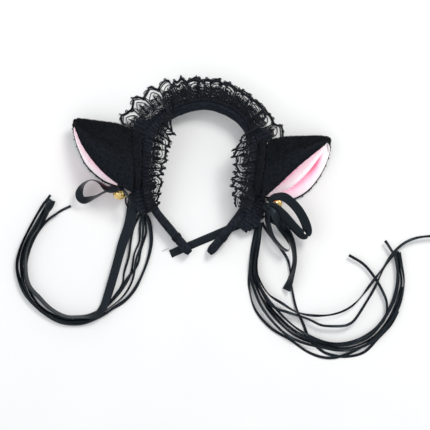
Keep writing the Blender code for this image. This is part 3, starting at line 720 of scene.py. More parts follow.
class LaceWork:
    """Threads on a frill, in motifs one pitch long. x runs along the cloth, y to its edge."""

    def __init__(self, frill, pitch):
        self.frill = frill
        self.count = int(frill.cloth / pitch)
        self.pitch = frill.cloth / self.count
        self.lines = []

    def thread(self, points, radius, sides=5, cyclic=False):
        points = np.array(points, float)
        path = self.frill.at(points[:, 0], points[:, 1])
        self.lines.append((path, radius, sides, cyclic))

    def curve(self, steps, point, radius, sides=5):
        self.thread([point(t) for t in np.linspace(0, 1, steps + 1)], radius, sides)

    def ring(self, x, y, half_x, half_y, radius, points=8):
        ring = [(x + half_x * math.cos(a), y + half_y * math.sin(a)) for a in circle(points)]
        self.thread(ring, radius, cyclic=True)

    def petal(self, x, y, angle, near, far, half, radius):
        turn = circle(11)
        along = (near + far) / 2 - (far - near) / 2 * np.cos(turn)
        side = half * np.sin(turn) * (0.7 + 0.3 * (along - near) / (far - near))
        petal_x = x + along * math.sin(angle) + side * math.cos(angle)
        petal_y = y + along * math.cos(angle) - side * math.sin(angle)
        self.thread(np.stack([petal_x, petal_y], 1), radius, cyclic=True)

    def edge(self, x, wobble):
        """A bold cord on the scallop, a thinner one against it, and picots."""
        pitch, swing = self.pitch, 0.7 * wobble[0]
        self.curve(14, lambda t: (x + pitch * t, scallop_edge(t) + swing * math.sin(TURN * t)),
                   radius=0.80, sides=6)
        self.curve(14, lambda t: (x + pitch * t, scallop_edge(t) - 1.35), radius=0.50)
        for t in (0.2, 0.5, 0.8):
            self.ring(x + pitch * t, scallop_edge(t) + 0.8, 0.95, 0.85, radius=0.44)

    def rib(self, x, wobble):
        """The double rib between two windows, with a knot of thread at its head."""
        for offset, head, run, radius, sides in ((0, 3.4, 12.6, 0.62, 6), (1.25, 4.6, 10.5, 0.36, 5)):
            self.curve(8, lambda t: (
                x + offset + 0.5 * math.sin(3 * t + wobble[1]), DEPTH - head - run * t,
            ), radius, sides)
        self.ring(x, DEPTH - 3.9, 1.1, 1.2, radius=0.5)

    def fan(self, x, wobble):
        """A corded window with a fan of petals standing in it and a rosette over the fan."""
        self.ring(x, DEPTH - 9.6, self.pitch / 2 - 1.5, 5.6, radius=0.42, points=18)
        reaches = (7.2, 8.6, 9.6, 8.6, 7.2)
        for k, reach in enumerate(reaches):
            angle = math.radians(-58 + 29 * k + 4 * wobble[2])
            self.petal(x, FAN_ROOT, angle, near=1.6, far=reach, half=1.35, radius=0.40)
            tip = reach + (1.6 if k in (1, 3) else 0.4)
            self.thread([
                (x + r * math.sin(angle), FAN_ROOT + r * math.cos(angle))
                for r in (1.0, reach * 0.5, tip)
            ], radius=0.30)
        cross = []
        for a in np.radians(np.linspace(-66, 66, 17)):
            out = 7.4 + math.sin(7 * a + wobble[5])
            cross.append((x + out * math.sin(a), FAN_ROOT + out * math.cos(a)))
        self.thread(cross, radius=0.34)
        for k in range(5):
            self.petal(x + 0.6 * wobble[6], FAN_ROOT + 6.2, TURN / 5 * k + wobble[7],
                       near=0.3, far=1.9, half=0.62, radius=0.36)

    def ground(self, x, middle, wobble, flowers):
        """Two cords under the fans, then flowers and leaves."""
        pitch = self.pitch
        self.curve(12, lambda t: (
            x + pitch * t,
            DEPTH - 16.6 + 1.2 * math.cos(TURN * t) + 0.3 * math.sin(3 * TURN * t),
        ), radius=0.62, sides=6)
        self.curve(10, lambda t: (x + pitch * t, DEPTH - 18.0 + math.cos(TURN * t)), radius=0.42)
        if flowers:
            for flower_x, y, size in ((middle, DEPTH - 20.6, 2.3), (x, DEPTH - 19.6, 2.0)):
                for k in range(6):
                    self.petal(flower_x, y, math.pi / 3 * k + 0.3 * wobble[3],
                               near=0.5, far=size, half=0.62, radius=0.34)
        for sign in (-1, 1):
            self.petal(x, DEPTH - 15.6, sign * 0.75 + 0.1 * wobble[4],
                       near=0.4, far=4.2, half=0.8, radius=0.34)

    def long_cords(self):
        s = np.linspace(0, self.frill.cloth, int(self.frill.cloth / 1.2))
        for y, radius in ((0.3, 0.55), (1.6, 0.5), (3.2, 0.5), (DEPTH - 22.6, 0.45)):
            self.thread(np.stack([s, y + 0.35 * np.sin(s * 1.7 + y)], 1), radius)

    def net(self, cell, rng):
        """The fine net near the root, thinned at random over the crown."""
        frill = self.frill
        height = cell * math.sqrt(3) / 2
        starts, ends = [], []
        for k in range(int((DEPTH - 14.0) / height)):
            y = 0.6 + k * height
            x = np.arange(0, frill.cloth, cell) + (cell / 2 if k % 2 else 0)
            for step_x, step_y in ((cell / 2, height), (-cell / 2, height), (cell, 0)):
                starts.append(np.stack([x, np.full_like(x, y)], 1))
                ends.append(np.stack([x + step_x, np.full_like(x, y + step_y)], 1))
        starts, ends = np.concatenate(starts), np.concatenate(ends)
        share = frill.start + (frill.end - frill.start) * starts[:, 0] / frill.cloth
        crown = (share > 0.43) & (share < 0.64)
        dropped = crown & (rng.uniform(0, 1, len(starts)) < 0.45)
        inside = (ends[:, 0] > 0) & (ends[:, 0] < frill.cloth) & (starts[:, 0] > 0)
        starts, ends = starts[inside & ~dropped], ends[inside & ~dropped]
        jitter = rng.uniform(-0.22, 0.22, starts.shape)
        return rods(frill.at(starts[:, 0] + jitter[:, 0], starts[:, 1]),
                    frill.at(ends[:, 0], ends[:, 1] + jitter[:, 1]), radius=0.24)

    def stray_bars(self, rng):
        """Short bars of thread across the windows."""
        count = self.count * 16
        x = rng.integers(0, self.count, count) * self.pitch + self.pitch / 2
        angle, out = rng.uniform(-1.1, 1.1, count), rng.uniform(2.5, 9.0, count)
        starts = np.stack([x + out * np.sin(angle), FAN_ROOT + out * np.cos(angle)], 1)
        turn = angle + rng.uniform(-1.4, 1.4, count)
        length = rng.uniform(1.2, 2.6, count)[:, None]
        ends = starts + np.stack([np.sin(turn), np.cos(turn)], 1) * length
        ends[:, 1] = np.minimum(ends[:, 1], DEPTH - 1.5)
        at = self.frill.at
        return rods(at(starts[:, 0], starts[:, 1]), at(ends[:, 0], ends[:, 1]), radius=0.24)


def lace(side, frill, pitch, cell, seed, flowers):
    work = LaceWork(frill, pitch)
    rng = np.random.default_rng(seed)
    for k in range(work.count):
        x = k * work.pitch
        middle = x + work.pitch / 2
        wobble = rng.uniform(-1, 1, 8)
        work.edge(x, wobble)
        work.rib(x, wobble)
        work.fan(middle, wobble)
        work.ground(x, middle, wobble, flowers)
    work.long_cords()
    net = join_parts([work.net(cell, rng), work.stray_bars(rng)])
    build(f"lace_net_{side}", *net, LACE, "headband", "lace")
    build_tubes(
        f"lace_frill_{side}", work.lines, LACE, "headband", "lace", f"lace_{side}_frill")


def root_ruffle(name, frill, widths, seed):
    """The solid gathered ribbon that the lace is sewn to."""
    count = int(frill.run / 0.36)
    s = np.linspace(0, frill.cloth, count)
    share = np.linspace(frill.start, frill.end, count)
    width = np.interp(share, *np.array(widths, float).T)
    width = width * (1 + smooth_noise(count, 14, seed, 0.10))
    reach = np.linspace(0, 1, 12)[None, :]
    y = -0.9 + (width[:, None] + 0.9) * reach
    grid = frill.at(np.repeat(s[:, None], 12, 1), np.maximum(y, 0))
    phase = share * hoop_length * TURN / 3.0 + smooth_noise(count, 22, seed + 1, 1.6)
    pleats = (np.sin(phase) + 0.3 * np.sin(2 * phase + 1))[:, None]
    push = 0.75 * (0.4 + 0.8 * reach) * pleats
    root = grid[:, :1] - (grid[:, 4:5] - grid[:, :1]) * 0.25
    cloth_sheet(name, np.concatenate([root, grid[:, 1:]], axis=1), push, 0.5)


front_frill = Frill(FRONT_FRILL, root_up=6.4, root_out=1.0, waves=27, amp=3.0, seed=11,
                    z_floor=0.6, full=1.58, sway=2.3, limp=9.0)
back_frill = Frill(BACK_FRILL, root_up=-8.0, root_out=3.0, waves=11, amp=1.9, seed=17,
                   z_floor=0.9, full=1.25, sway=1.2, limp=5.0)
lace("front", front_frill, pitch=12.4, cell=2.5, seed=3, flowers=True)
lace("back", back_frill, pitch=13.4, cell=3.0, seed=5, flowers=False)
root_ruffle("lace_root_ruffle_front", front_frill, FRONT_ROOT, seed=61)
root_ruffle("lace_root_ruffle_back", back_frill, BACK_ROOT, seed=67)

# ---------------------------------------------------------------- ears
# upper, crease and lower are x, y, z lines from base to tip. The base is the padded roll
# between ear and hoop. Starts below 0 run the sheets on past the ear's base.
EARS = {
    "right": {
        "upper": [(65, -20.5, 27), (77, -9.5, 32), (97, 9.5, 33.5), (114, 23.5, 27),
                  (124.5, 32, 19.5)],
        "crease": [(70.5, 33, 15), (86, 34.5, 17), (104, 34.8, 18), (119, 35.5, 17.5),
                   (126.5, 34.5, 16.5)],
        "lower": [(67.5, -23.0, 4.2), (79, -23.6, 3.1), (92, -25.0, 2.6), (108, -16, 2.6),
                  (121, 1, 4.2), (128.5, 20, 8.5), (128.5, 31, 14)],
        "shell_start": -0.05, "lining_start": -0.055, "seed": 31, "seed_shift": 1,
        "base_centre": (59.4, 8.0, 20.6), "base_half_length": 27.5, "base_thick": 3.8,
        "base_slope": 0.10,
    },
    "left": {
        "upper": [(-69, -15, 28), (-80, -8, 32), (-96, 5.5, 33.5), (-113, 27.5, 27),
                  (-122.5, 48.5, 20)],
        "crease": [(-67.5, 42, 15), (-80, 47.5, 17), (-97, 50, 18), (-112, 52, 17.5),
                   (-121, 53, 17)],
        "lower": [(-72.5, -12.5, 4.2), (-84, -11.5, 3.1), (-98.5, -5, 2.6), (-113, 8.5, 2.6),
                  (-121, 24.5, 4.6), (-125, 39, 8.5), (-125.5, 48.5, 14.5)],
        "shell_start": -0.035, "lining_start": -0.02, "seed": 47, "seed_shift": -1,
        "base_centre": (-62.0, 16.0, 20.8), "base_half_length": 30, "base_thick": 4.5,
        "base_slope": 0.0,
    },
}


class Ear:
    """A cupped surface. t runs from base to tip, u from the upper rim to the lower."""

    def __init__(self, spec):
        self.lines = [spline(spec[key], 120) for key in ("upper", "crease", "lower")]

    def at(self, t, u):
        t, u = np.broadcast_arrays(np.asarray(t, float), np.asarray(u, float))
        # before the base (t below 0) each line runs straight on into the bow
        upper, crease, lower = (
            interp_rows(t * 120, np.arange(121), line)
            + np.minimum(t, 0)[..., None] * 120 * (line[1] - line[0])
            for line in self.lines
        )
        handle = 2 * crease - (upper + lower) / 2
        u = u[..., None]
        return (1 - u) ** 2 * upper + 2 * u * (1 - u) * handle + u * u * lower

    def normal(self, t, u):
        """Unit normal, into the cup."""
        step = 2e-3
        t, u = np.broadcast_arrays(np.asarray(t, float), np.asarray(u, float))
        along_u = self.at(t, np.minimum(u + step, 1)) - self.at(t, np.maximum(u - step, 0))
        along_t = self.at(np.minimum(t + step, 1), u) - self.at(np.maximum(t - step, 0), u)
        normal = unit(np.cross(along_u, along_t))
        rims = self.at(t, 0.0 * u) + self.at(t, 0.0 * u + 1)
        inward = rims / 2 - self.at(t, 0.0 * u + 0.5)
        return normal * np.where(np.sum(normal * inward, -1, keepdims=True) < 0, -1.0, 1.0)


def fur(name, roots, normals, reach, body, slot, radius, seed, comb=0.0):
    """Short closed fibres, each a bent three-sided spike. comb leans them all one way."""
    rng = np.random.default_rng(seed)
    count = len(roots)
    direction = unit(normals + rng.normal(0, 0.38, (count, 3)) + comb)
    side = unit(np.cross(direction, rng.normal(0, 1, (count, 3))))
    other = np.cross(direction, side)
    bend = unit(direction + rng.normal(0, 0.35, (count, 3)))
    radii = radius * rng.uniform(0.7, 1.3, count)[:, None]
    spread = [radii * (math.cos(a) * side + math.sin(a) * other)
              for a in np.radians([90, 210, 330])]
    middle = roots + direction * (reach * 0.55)[:, None]
    base_ring = [roots - direction * 0.3 + offset for offset in spread]
    middle_ring = [middle + 0.62 * offset for offset in spread]
    tip = middle + bend * (reach * 0.45)[:, None]
    verts = np.stack(base_ring + middle_ring + [tip], axis=1).reshape(-1, 3)
    faces = repeat_faces(ROD_SIDES + [(3, 4, 6), (4, 5, 6), (5, 3, 6), (2, 1, 0)], count, 7)
    # painted highlight: each fibre pales from root to tip, by a random amount per fibre
    tip_highlight = np.tile([0, 0, 0, 0.5, 0.5, 0.5, 1.0], count)
    tip_highlight = tip_highlight * np.repeat(rng.uniform(0.45, 1.0, count), 7)
    build(name, verts, faces, FUR, body, slot, attrs={"tip": tip_highlight})


def plush_shell(side, spec, ear, grow):
    """The ear's outer sheet, rounded at both rims and closed at the tip. Returns tip centre."""
    t = np.linspace(spec["shell_start"], 1, 61)[:, None]
    u = np.linspace(0, 1, 57)[None, :]
    surface, normal = ear.at(t, u), ear.normal(t, u)
    lump = 0.35 * np.sin(5 * u + 9 * t + 1) * np.sin(7 * t + 2 * u)
    lump = lump + 0.2 * np.sin(17 * t + 6 * u)
    fold = 1.3 * hump(u, 0.07, 0.05) - 0.7 * hump(u, 0.17, 0.022) * np.clip(t * 6, 0, 1)
    thin = 0.45 + 0.55 * np.clip((1 - u) / 0.05, 0, 1)  # towards the lower rim
    outer = surface - normal * ((1.9 + lump * 0.6 + fold) * thin)[..., None]
    inner = surface - normal * 0.1

    def rim(edge, inside, middle, half, reach, degrees):
        outward = unit(surface[:, edge] - surface[:, inside])
        return np.stack([
            surface[:, edge] - normal[:, edge] * (middle + half * math.cos(a))
            + outward * (reach * math.sin(a))
            for a in np.radians(degrees)
        ], 1)

    lower = rim(-1, -3, middle=0.5, half=0.4, reach=0.45, degrees=[40, 90, 140])
    upper = rim(0, 2, middle=1.0, half=0.95, reach=2.0, degrees=[140, 90, 40])
    rings = np.concatenate([outer, lower, inner[:, ::-1], upper], axis=1)
    last = rings[-1]
    tip = last.mean(0)
    for scale, push in ((0.75, 1.2), (0.4, 1.9), (0.12, 2.2)):
        rings = np.concatenate([rings, ((last - tip) * scale + tip + grow * push)[None]], 0)
    build_rings(f"{side}_plush_shell", rings, PLUSH, f"{side}_ear", "plush",
                f"{side}_ear_plush_back")
    return tip


def ear_pile(side, ear, grow, tip, rng, shift):
    """Pile over the outside, along both rims in clumps, and in a tuft on the tip."""
    body = f"{side}_ear"
    count = 11000
    t, u = rng.uniform(0, 1, count), rng.uniform(0, 1, count)
    normal = ear.normal(t, u)
    fur(f"{side}_ear_pile", ear.at(t, u) - normal * 1.85, -normal,
        rng.uniform(1.1, 2.0, count), body, "plush", radius=0.2, seed=3 + shift,
        comb=grow * 0.5)

    count = 2600
    t = rng.uniform(0, 1, count)
    upper = rng.uniform(0, 1, count) < 0.68
    u = np.where(upper, 0.0, 1.0)
    surface, normal = ear.at(t, u), ear.normal(t, u)
    outward = unit(surface - ear.at(t, np.where(upper, 0.03, 0.97)))
    sink = rng.uniform(0.1, 1, count) * np.where(upper, 1.9, 0.8)
    roots = surface - normal * sink[:, None] + outward * np.where(upper, 0.6, 0.1)[:, None]
    tuft = np.maximum(0, np.sin(t * 47) * np.sin(t * 113 + 1) + 0.35 * np.sin(t * 211))
    wisp = np.maximum(0, np.sin(t * 83 + 2) * np.sin(t * 151))
    clump = np.where(upper, 0.85 + 0.75 * wisp, 0.40 + 1.25 * tuft)
    fur(f"{side}_ear_rim_pile", roots, outward - normal * 0.5,
        rng.uniform(0.8, 1.7, count) * clump, body, "plush", radius=0.18, seed=13 + shift,
        comb=grow * 0.35)

    count = 500
    direction = unit(rng.normal(0, 1, (count, 3)) + grow * 0.8)
    roots = tip + direction * np.array((2.2, 2.6, 2.6)) * 0.9
    fur(f"{side}_ear_tip_tuft", roots, direction, rng.uniform(1.0, 1.9, count), body, "plush",
        radius=0.2, seed=23 + shift)


def right_lining_relief(t, across, lower_half, taper):
    """Lift and painted shade: a pressed ridge from base to tip beside a valley painted deep pink as
    its shade, with painted shade under the upper rim and a little more pink towards the base.
    """
    valley = 0.50 + 0.03 * np.sin(5 * t + 1)
    groove = hump(across, valley, 0.060) * lower_half
    ridge = hump(across, valley - 0.20, 0.13) * lower_half
    lift = 1.1 + 4.4 * taper * ridge - 0.7 * taper * groove
    step = smoothstep(np.clip((across - (valley - 0.075)) / 0.05, 0, 1))
    # painted shade in the valley, strongest at these shares of the ear's length
    valley_shade = 0.98 * hump(t, 0.62, 0.13) + 0.60 * hump(t, 0.36, 0.22) + 0.12
    fade = np.exp(-np.clip(across - valley, 0, 9) / (0.13 + 0.20 * (1 - t) ** 1.5))
    # painted shade just under the upper rim
    shade_under_rim = (0.52 - 0.36 * t) * hump(across, 0, 0.10) * lower_half
    return lift, step * fade * valley_shade + 0.07 * (1 - t) ** 2 + shade_under_rim


def left_lining_relief(t, across, lower_half, taper):
    """Lift and painted shade: a shallow groove, painted pinkest under the upper rim as shade there,
    and pinker near the tip and the base.
    """
    groove = hump(across, 0.30, 0.10) * lower_half
    lift = 1.1 - 0.45 * taper * groove + 0.7 * hump(across, 0.75, 0.2) * lower_half * taper
    # painted shade under the upper rim, weaker towards the tip
    shade_under_rim = 0.80 * hump(np.clip(across, 0, 9), 0, 0.36) * (1.08 - 0.70 * t)
    tip_blush = 0.20 * hump(t, 0.93, 0.05)
    return lift, 0.04 + (shade_under_rim + tip_blush) * lower_half + 0.3 * (1 - t) ** 4


def ear_lining(side, spec, ear, relief):
    """The pink sheet inside the cup."""
    u_start, u_end = 0.028, 0.994
    t = np.linspace(spec["lining_start"], 0.965, 81)[:, None]
    u = np.linspace(u_start, u_end, 111)[None, :]
    surface, normal = ear.at(t, u), ear.normal(t, u)
    upper, lower = ear.at(t, 0.0 * t), ear.at(t, 0.0 * t + 1)
    # across is 0 under the upper rim and 1 at the lower rim, as seen from above
    span = (lower - upper)[..., :2]
    across = np.sum((surface - upper)[..., :2] * span, -1)
    across = across / np.maximum(np.sum(span * span, -1), 1e-6)
    lower_half = u > 0.5
    across = np.where(lower_half, across, 0.0)
    taper = np.sin(math.pi * np.clip(t * 1.02, 0, 1)) ** 0.5
    # painted shade, carried on the mesh as the lining's colour
    lift, painted_shade = relief(t, across, lower_half, taper)
    painted_shade = np.clip(np.where(lower_half, painted_shade, 0.5), 0, 1)
    # a rolled hem near the lower rim, then fine ripples, then both edges drawn down
    lift = np.maximum(lift, 1.75 * hump(u, 0.965, 0.022)) + 0.55 * hump(u, 0.965, 0.03)
    lift = lift + 0.14 * np.sin(23 * t + 9 * u) + 0.10 * np.sin(41 * u + 5 * t)
    lift = lift + 0.10 * np.sin(57 * t + 3)
    edge = np.minimum(1, np.minimum((u - u_start) / 0.03, (u_end - u) / 0.018))
    lift = 0.3 + (lift - 0.3) * np.sqrt(np.clip(edge, 0, 1))
    rings = fold_back(surface + normal * lift[..., None], surface + normal * 0.12)
    build_rings(f"{side}_ear_lining", rings, PINK, f"{side}_ear", "pink_satin",
                f"{side}_ear_pink_lining", attrs={"painted_shade": fold_back(painted_shade, painted_shade).ravel()})


def padded_base(side, spec, rng, shift):
    """The padded roll between ear and hoop, with its pile."""
    x, y, z = spec["base_centre"]
    half_length = spec["base_half_length"]
    along = np.linspace(-1, 1, 60)
    swell = np.sqrt(np.clip(1 - np.abs(along) ** 3.5, 0.02, 1))
    pleat = 1 + 0.10 * np.sin(np.arange(60) * 1.35) + smooth_noise(60, 4, 71, 0.08)
    lean = spec["base_slope"] * half_length * along
    height = (6.4 - 1.6 * np.abs(along)) * swell
    rings = np.stack([
        np.stack([
            x + lean + spec["base_thick"] * swell * pleat * math.cos(a),
            y + half_length * along,
            z + height * math.sin(a) + 0.5 * np.sin(along * 9),
        ], -1)
        for a in circle(24)
    ], axis=1)
    build_rings(f"{side}_ear_padded_base", rings, PLUSH, "headband", "felt",
                f"{side}_ear_felt_base")
    count = 1500
    i, j = rng.integers(0, 60, count), rng.integers(0, 24, count)
    roots = rings[i, j]
    axis = np.stack([np.full(count, x), roots[:, 1], np.full(count, z)], 1)
    fur(f"{side}_ear_base_pile", roots, unit(roots - axis), rng.uniform(0.7, 1.3, count),
        "headband", "felt", radius=0.18, seed=33 + shift)


for side, relief in (("right", right_lining_relief), ("left", left_lining_relief)):
    spec = EARS[side]
    ear = Ear(spec)
    rng = np.random.default_rng(spec["seed"])
    grow = unit(ear.at(1, 0.5) - ear.at(0.9, 0.5))  # the way the ear points at its tip
    tip = plush_shell(side, spec, ear, grow)
    ear_pile(side, ear, grow, tip, rng, spec["seed_shift"])
    ear_lining(side, spec, ear, relief)
    padded_base(side, spec, rng, spec["seed_shift"])

# ---------------------------------------------------------------- bows
KNOT = {"right": (66, -31.5, 20.5), "left": (-78, -12.8, 25)}
BELL = {"right": (75.5, -29.5, 8.6), "left": (-79.5, -18.5, 11.5)}
BELL_R = 6.2

# Bow ribbons: x, y, z and the width's angle to the table in degrees
RIGHT_LARGE = [
    (67.0, -26.2, 23.5, 0), (74.2, -22.0, 25.5, 0), (84, -22.5, 24, 0), (95.5, -33, 21, 0),
    (103.5, -45.5, 17.5, 0), (106.5, -56, 14.5, 0), (102.5, -60, 12.5, 0),
    (93.5, -52, 13, 0), (83.6, -40.8, 16, 0), (75.0, -33.2, 20, 0), (68.0, -28.6, 22, 0),
]
RIGHT_SMALL = [
    (66, -33.5, 20.5, 30), (66.5, -38, 18.5, 45), (67, -47, 15, 55), (71.5, -61, 13, 62),
    (79.5, -71.5, 12.5, 68), (86.5, -75.5, 12.5, 75), (89, -72, 13, 88), (86, -64, 14.5, 75),
    (80, -54, 17, 55), (76, -45.6, 20.5, 34), (73.0, -38.2, 22, 14), (68.8, -33.6, 21.5, 6),
]
RIGHT_TAIL = [
    (67, -34.5, 17.5, 0), (71.5, -42.5, 13, -8), (79, -48, 10.5, 12), (87.5, -58.5, 9, 42),
    (92.5, -71, 7.8, 60), (94, -86.6, 6.8, 66), (90.5, -103, 5.4, 58), (86, -115, 4.4, 30),
]
LEFT_LARGE = [
    (-80, -13.5, 25, 10), (-85, -14.5, 24, 15), (-92, -13.5, 22.5, 50), (-99, -7.5, 21.5, 76),
    (-107, -5.5, 20, 84), (-115, -10, 16, 62), (-119.5, -19, 12.5, 20),
    (-115.5, -25.5, 11.5, 30), (-104, -22.5, 13.5, 72), (-95, -18.0, 16.5, 80),
    (-89.5, -16.2, 19, 70), (-82.5, -14, 23, 40),
]
LEFT_SMALL = [
    (-76, -14.5, 26, 50), (-73.3, -17.8, 26.5, 60), (-70.5, -21.5, 26.5, 65),
    (-68.5, -28, 23, 72), (-70.5, -31.5, 20, 80), (-72.8, -28, 19.8, 80),
    (-72.8, -22, 20.5, 80),
]


def laid_width(path, tangent):
    """The width direction for rows that carry the ribbon's angle to the table."""
    level = unit(np.cross(tangent, UP))
    angle = np.radians(path[:, 3])[:, None]
    return np.cos(angle) * level - np.sin(angle) * np.cross(level, tangent)


def bow_ribbon(side, piece, node, stations, width, seed, width_dir=None, count=150,
               pinch_end=True):
    """A ribbon pinched at its start, and at its end too unless it hangs free."""
    path = spline(stations, count)
    tangent = tangents(path)
    if width_dir is None:
        width_dir = laid_width(path, tangent)
    width_dir = square_to(width_dir, tangent)
    # keep the width from flipping over between neighbours
    for i in range(1, len(width_dir)):
        if np.dot(width_dir[i], width_dir[i - 1]) < 0:
            width_dir[i] = -width_dir[i]
    rows = count + 1
    drift = [smooth_noise(rows, scale, seed + k, amp)
             for k, (scale, amp) in enumerate(((22, 0.18), (26, 0.18), (24, 0.15)))]
    pinched = int(count * 0.1)
    squeeze = 0.62 + 0.38 * np.sin(np.linspace(0, math.pi / 2, pinched)) ** 1.2
    widths = np.full(rows, float(width))
    widths[:pinched] *= squeeze
    if pinch_end:
        widths[-pinched:] *= squeeze[::-1]
    cup = 0.35 + smooth_noise(rows, 30, seed + 3, 0.25)
    cup[:pinched] += np.linspace(1.0, 0, pinched)
    ribbon(f"{side}_bow_{piece}", path[:, :3] + np.stack(drift, 1), width_dir, widths, 0.32,
           f"{side}_bow", f"{side}_bow_{node}", cup=cup)


bow_ribbon("right", "loop_large", "big_loop", RIGHT_LARGE, width=9.6, seed=2,
           width_dir=np.array((0.60, 0.66, 0.45)))
bow_ribbon("right", "loop_small", "small_loop", RIGHT_SMALL, width=8.2, seed=8)
bow_ribbon("right", "long_tail", "tail", RIGHT_TAIL, width=9.4, seed=14, pinch_end=False)
bow_ribbon("left", "loop_large", "big_loop", LEFT_LARGE, width=8.4, seed=20, count=190)
bow_ribbon("left", "loop_small", "small_loop", LEFT_SMALL, width=5.6, seed=26)


def bow_knot(side, knot):
    """A pillow of creased cloth, two wraps round its middle and the bell's loop of thread."""
    body = f"{side}_bow"
    axis_x, axis_y, axis_z = knot.axes
    round_x = circle(64)
    rings = []
    for a in np.linspace(0, math.pi, 40)[1:-1]:
        crease = 1 + 0.06 * np.sin(9 * round_x + 2.2 * math.cos(a))
        crease = crease + 0.03 * np.sin(17 * round_x + 1)
        waist = 1 - 0.12 * hump(math.cos(a), 0, 0.35)
        size = np.sin(a) ** 0.72 * crease * waist
        rings.append(knot.at(
            3.9 * math.cos(a), np.cos(round_x) * size * 3.4, np.sin(round_x) * size * 2.9))
    uv = np.tile(np.linspace(0, 6, 64)[:, None], (len(rings), 2)) * 0.3
    build_rings(f"{side}_knot_body", np.stack(rings), SATIN, body, "satin",
                f"{side}_bow_knot", uv=uv)
    ring = knot.at(0.25 * np.sin(3 * round_x), np.cos(round_x) * 3.35, np.sin(round_x) * 2.95)
    for j, offset in enumerate((-1.1, 0.9)):
        path = ring + offset * axis_x
        path = np.concatenate([path, path[:2]])
        width_dir = axis_x + 0.15 * axis_y * (1 - 2 * j)
        ribbon(f"{side}_knot_wrap_{j + 1}", path, width_dir, 2.6, 0.35, body, cup=0.3)
    under = Pose(knot.origin + axis_z * -2.6, knot.axes)
    loop = np.array([
        under.at(1.5 * math.sin(a), 0, -1.05 - 0.9 * math.cos(a)) for a in circle(16)])
    strands = [(loop, 0.22, 6, True), (loop + 0.3 * axis_y, 0.2, 6, True)]
    build_tubes(f"{side}_bell_thread", strands, LACE, body, "satin")


def bell_shell(side, half, bell, first_angle, sign):
    """A pressed half shell, 0.5 thick, turned about the bell's z, with a rolled seam lip."""
    def arc(radius, start, end):
        return [(radius * math.sin(a), sign * radius * math.cos(a))
                for a in np.radians(np.linspace(start, end, 30))]

    lip = [(BELL_R + out, sign * z)
           for out, z in ((0.18, 0.62), (0.42, 0.42), (0.42, 0.2), (0.2, 0.12))]
    profile = arc(BELL_R, first_angle, 84) + lip + arc(BELL_R - 0.5, 84, first_angle)
    radius, z = np.array(profile).T
    turn = circle(96)[:, None]
    rings = bell.at(np.cos(turn) * radius, np.sin(turn) * radius, z[None])
    return build_rings(f"{side}_jingle_{half}", rings, GOLD, f"{side}_bell", "gold",
                       f"{side}_bell_{half}_shell", cyclic=True)


def slot_cutters(bell):
    """Verts and faces for a cross of two slots, each ending in round holes."""
    axis_x, axis_y, axis_z = bell.axes
    cutters = []
    for j in range(2):
        angle = math.radians(90 * j + 20)
        along = math.cos(angle) * axis_x + math.sin(angle) * axis_y
        aside = np.cross(axis_z, along)
        slot = Pose(bell.origin, (along, aside, axis_z))
        outline = ((-4.7, -0.45), (4.7, -0.45), (4.7, 0.45), (-4.7, 0.45))
        box = np.array([[slot.at(x, y, z) for x, y in outline] for z in (-9.0, -2.2)])
        verts, faces = loop_grid(box)
        cutters.append((verts, faces[4:] + faces[:4]))  # the box's two ends come first
        for end in (-4.55, 4.55):
            drill = unit(along * end - axis_z * 4.1)
            across = unit(np.cross(drill, aside))
            turn = circle(20)[:, None]
            ring = bell.origin + drill * 4.6
            ring = ring + 0.95 * (np.cos(turn) * aside + np.sin(turn) * across)
            cutters.append(loop_grid(np.stack([ring, ring + drill * 3.4])))
    return cutters


def cut(obj, verts, faces):
    cutter = face_outward(link_mesh("cut", verts, faces))
    modifier = obj.modifiers.new("cut", "BOOLEAN")
    modifier.operation, modifier.solver, modifier.object = "DIFFERENCE", "EXACT", cutter
    bpy.context.view_layer.update()
    evaluated = obj.evaluated_get(bpy.context.evaluated_depsgraph_get())
    result = bpy.data.meshes.new_from_object(evaluated)
    obj.modifiers.clear()
    obj.data = result
    bpy.data.objects.remove(cutter)


# x, y, z of the wire eye on top of the bell, in the bell's own axes
EYE = [
    (-0.75, 0, 4.6), (-0.8, 0, 6.2), (-1.25, 0, 7.4), (-0.8, 0, 8.5), (0, 0, 8.9),
    (0.8, 0, 8.5), (1.25, 0, 7.4), (0.8, 0, 6.2), (0.75, 0, 4.6),
]


def jingle_bell(side, bell):
    """Two half shells, the lower one slotted, with an eye, its collar and the jump ring."""
    axis_x, axis_y, axis_z = bell.axes
    bell_shell(side, "upper", bell, first_angle=8, sign=1)
    lower = bell_shell(side, "lower", bell, first_angle=3, sign=-1)
    for verts, faces in slot_cutters(bell):
        cut(lower, verts, faces)
    shade_smooth(lower.data)
    lower.modifiers.new("edges", "EDGE_SPLIT").split_angle = math.radians(38)
    eye = bell.at(*spline(EYE, 40).T)
    collar = np.array([
        bell.origin + 1.3 * (math.cos(a) * axis_x + math.sin(a) * axis_y) + 6.05 * axis_z
        for a in circle(28)
    ])
    build_tubes(f"{side}_jingle_eye", [(eye, 0.36, 10, False), (collar, 0.3, 8, True)],
                GOLD, f"{side}_bell", "gold", f"{side}_bell_shank")
    ring = np.array([
        bell.at(0, 1.75 * math.sin(a), 9.65 - 1.75 * math.cos(a))
        for a in np.linspace(0.12, TURN - 0.12, 44)
    ])
    build_tubes(f"{side}_jump_ring", [(ring, 0.34, 10, False)], GOLD, f"{side}_ring", "gold",
                f"{side}_bell_jump_ring")


for side in ("left", "right"):
    centre, knot = np.array(BELL[side]), np.array(KNOT[side])
    # both share axes whose z runs from the bell to the knot
    turned = Vector(unit(knot - centre)).to_track_quat("Z", "X").to_matrix()
    axes = [np.array(turned.col[i]) for i in range(3)]
    bow_knot(side, Pose(knot, axes))
    jingle_bell(side, Pose(centre, axes))

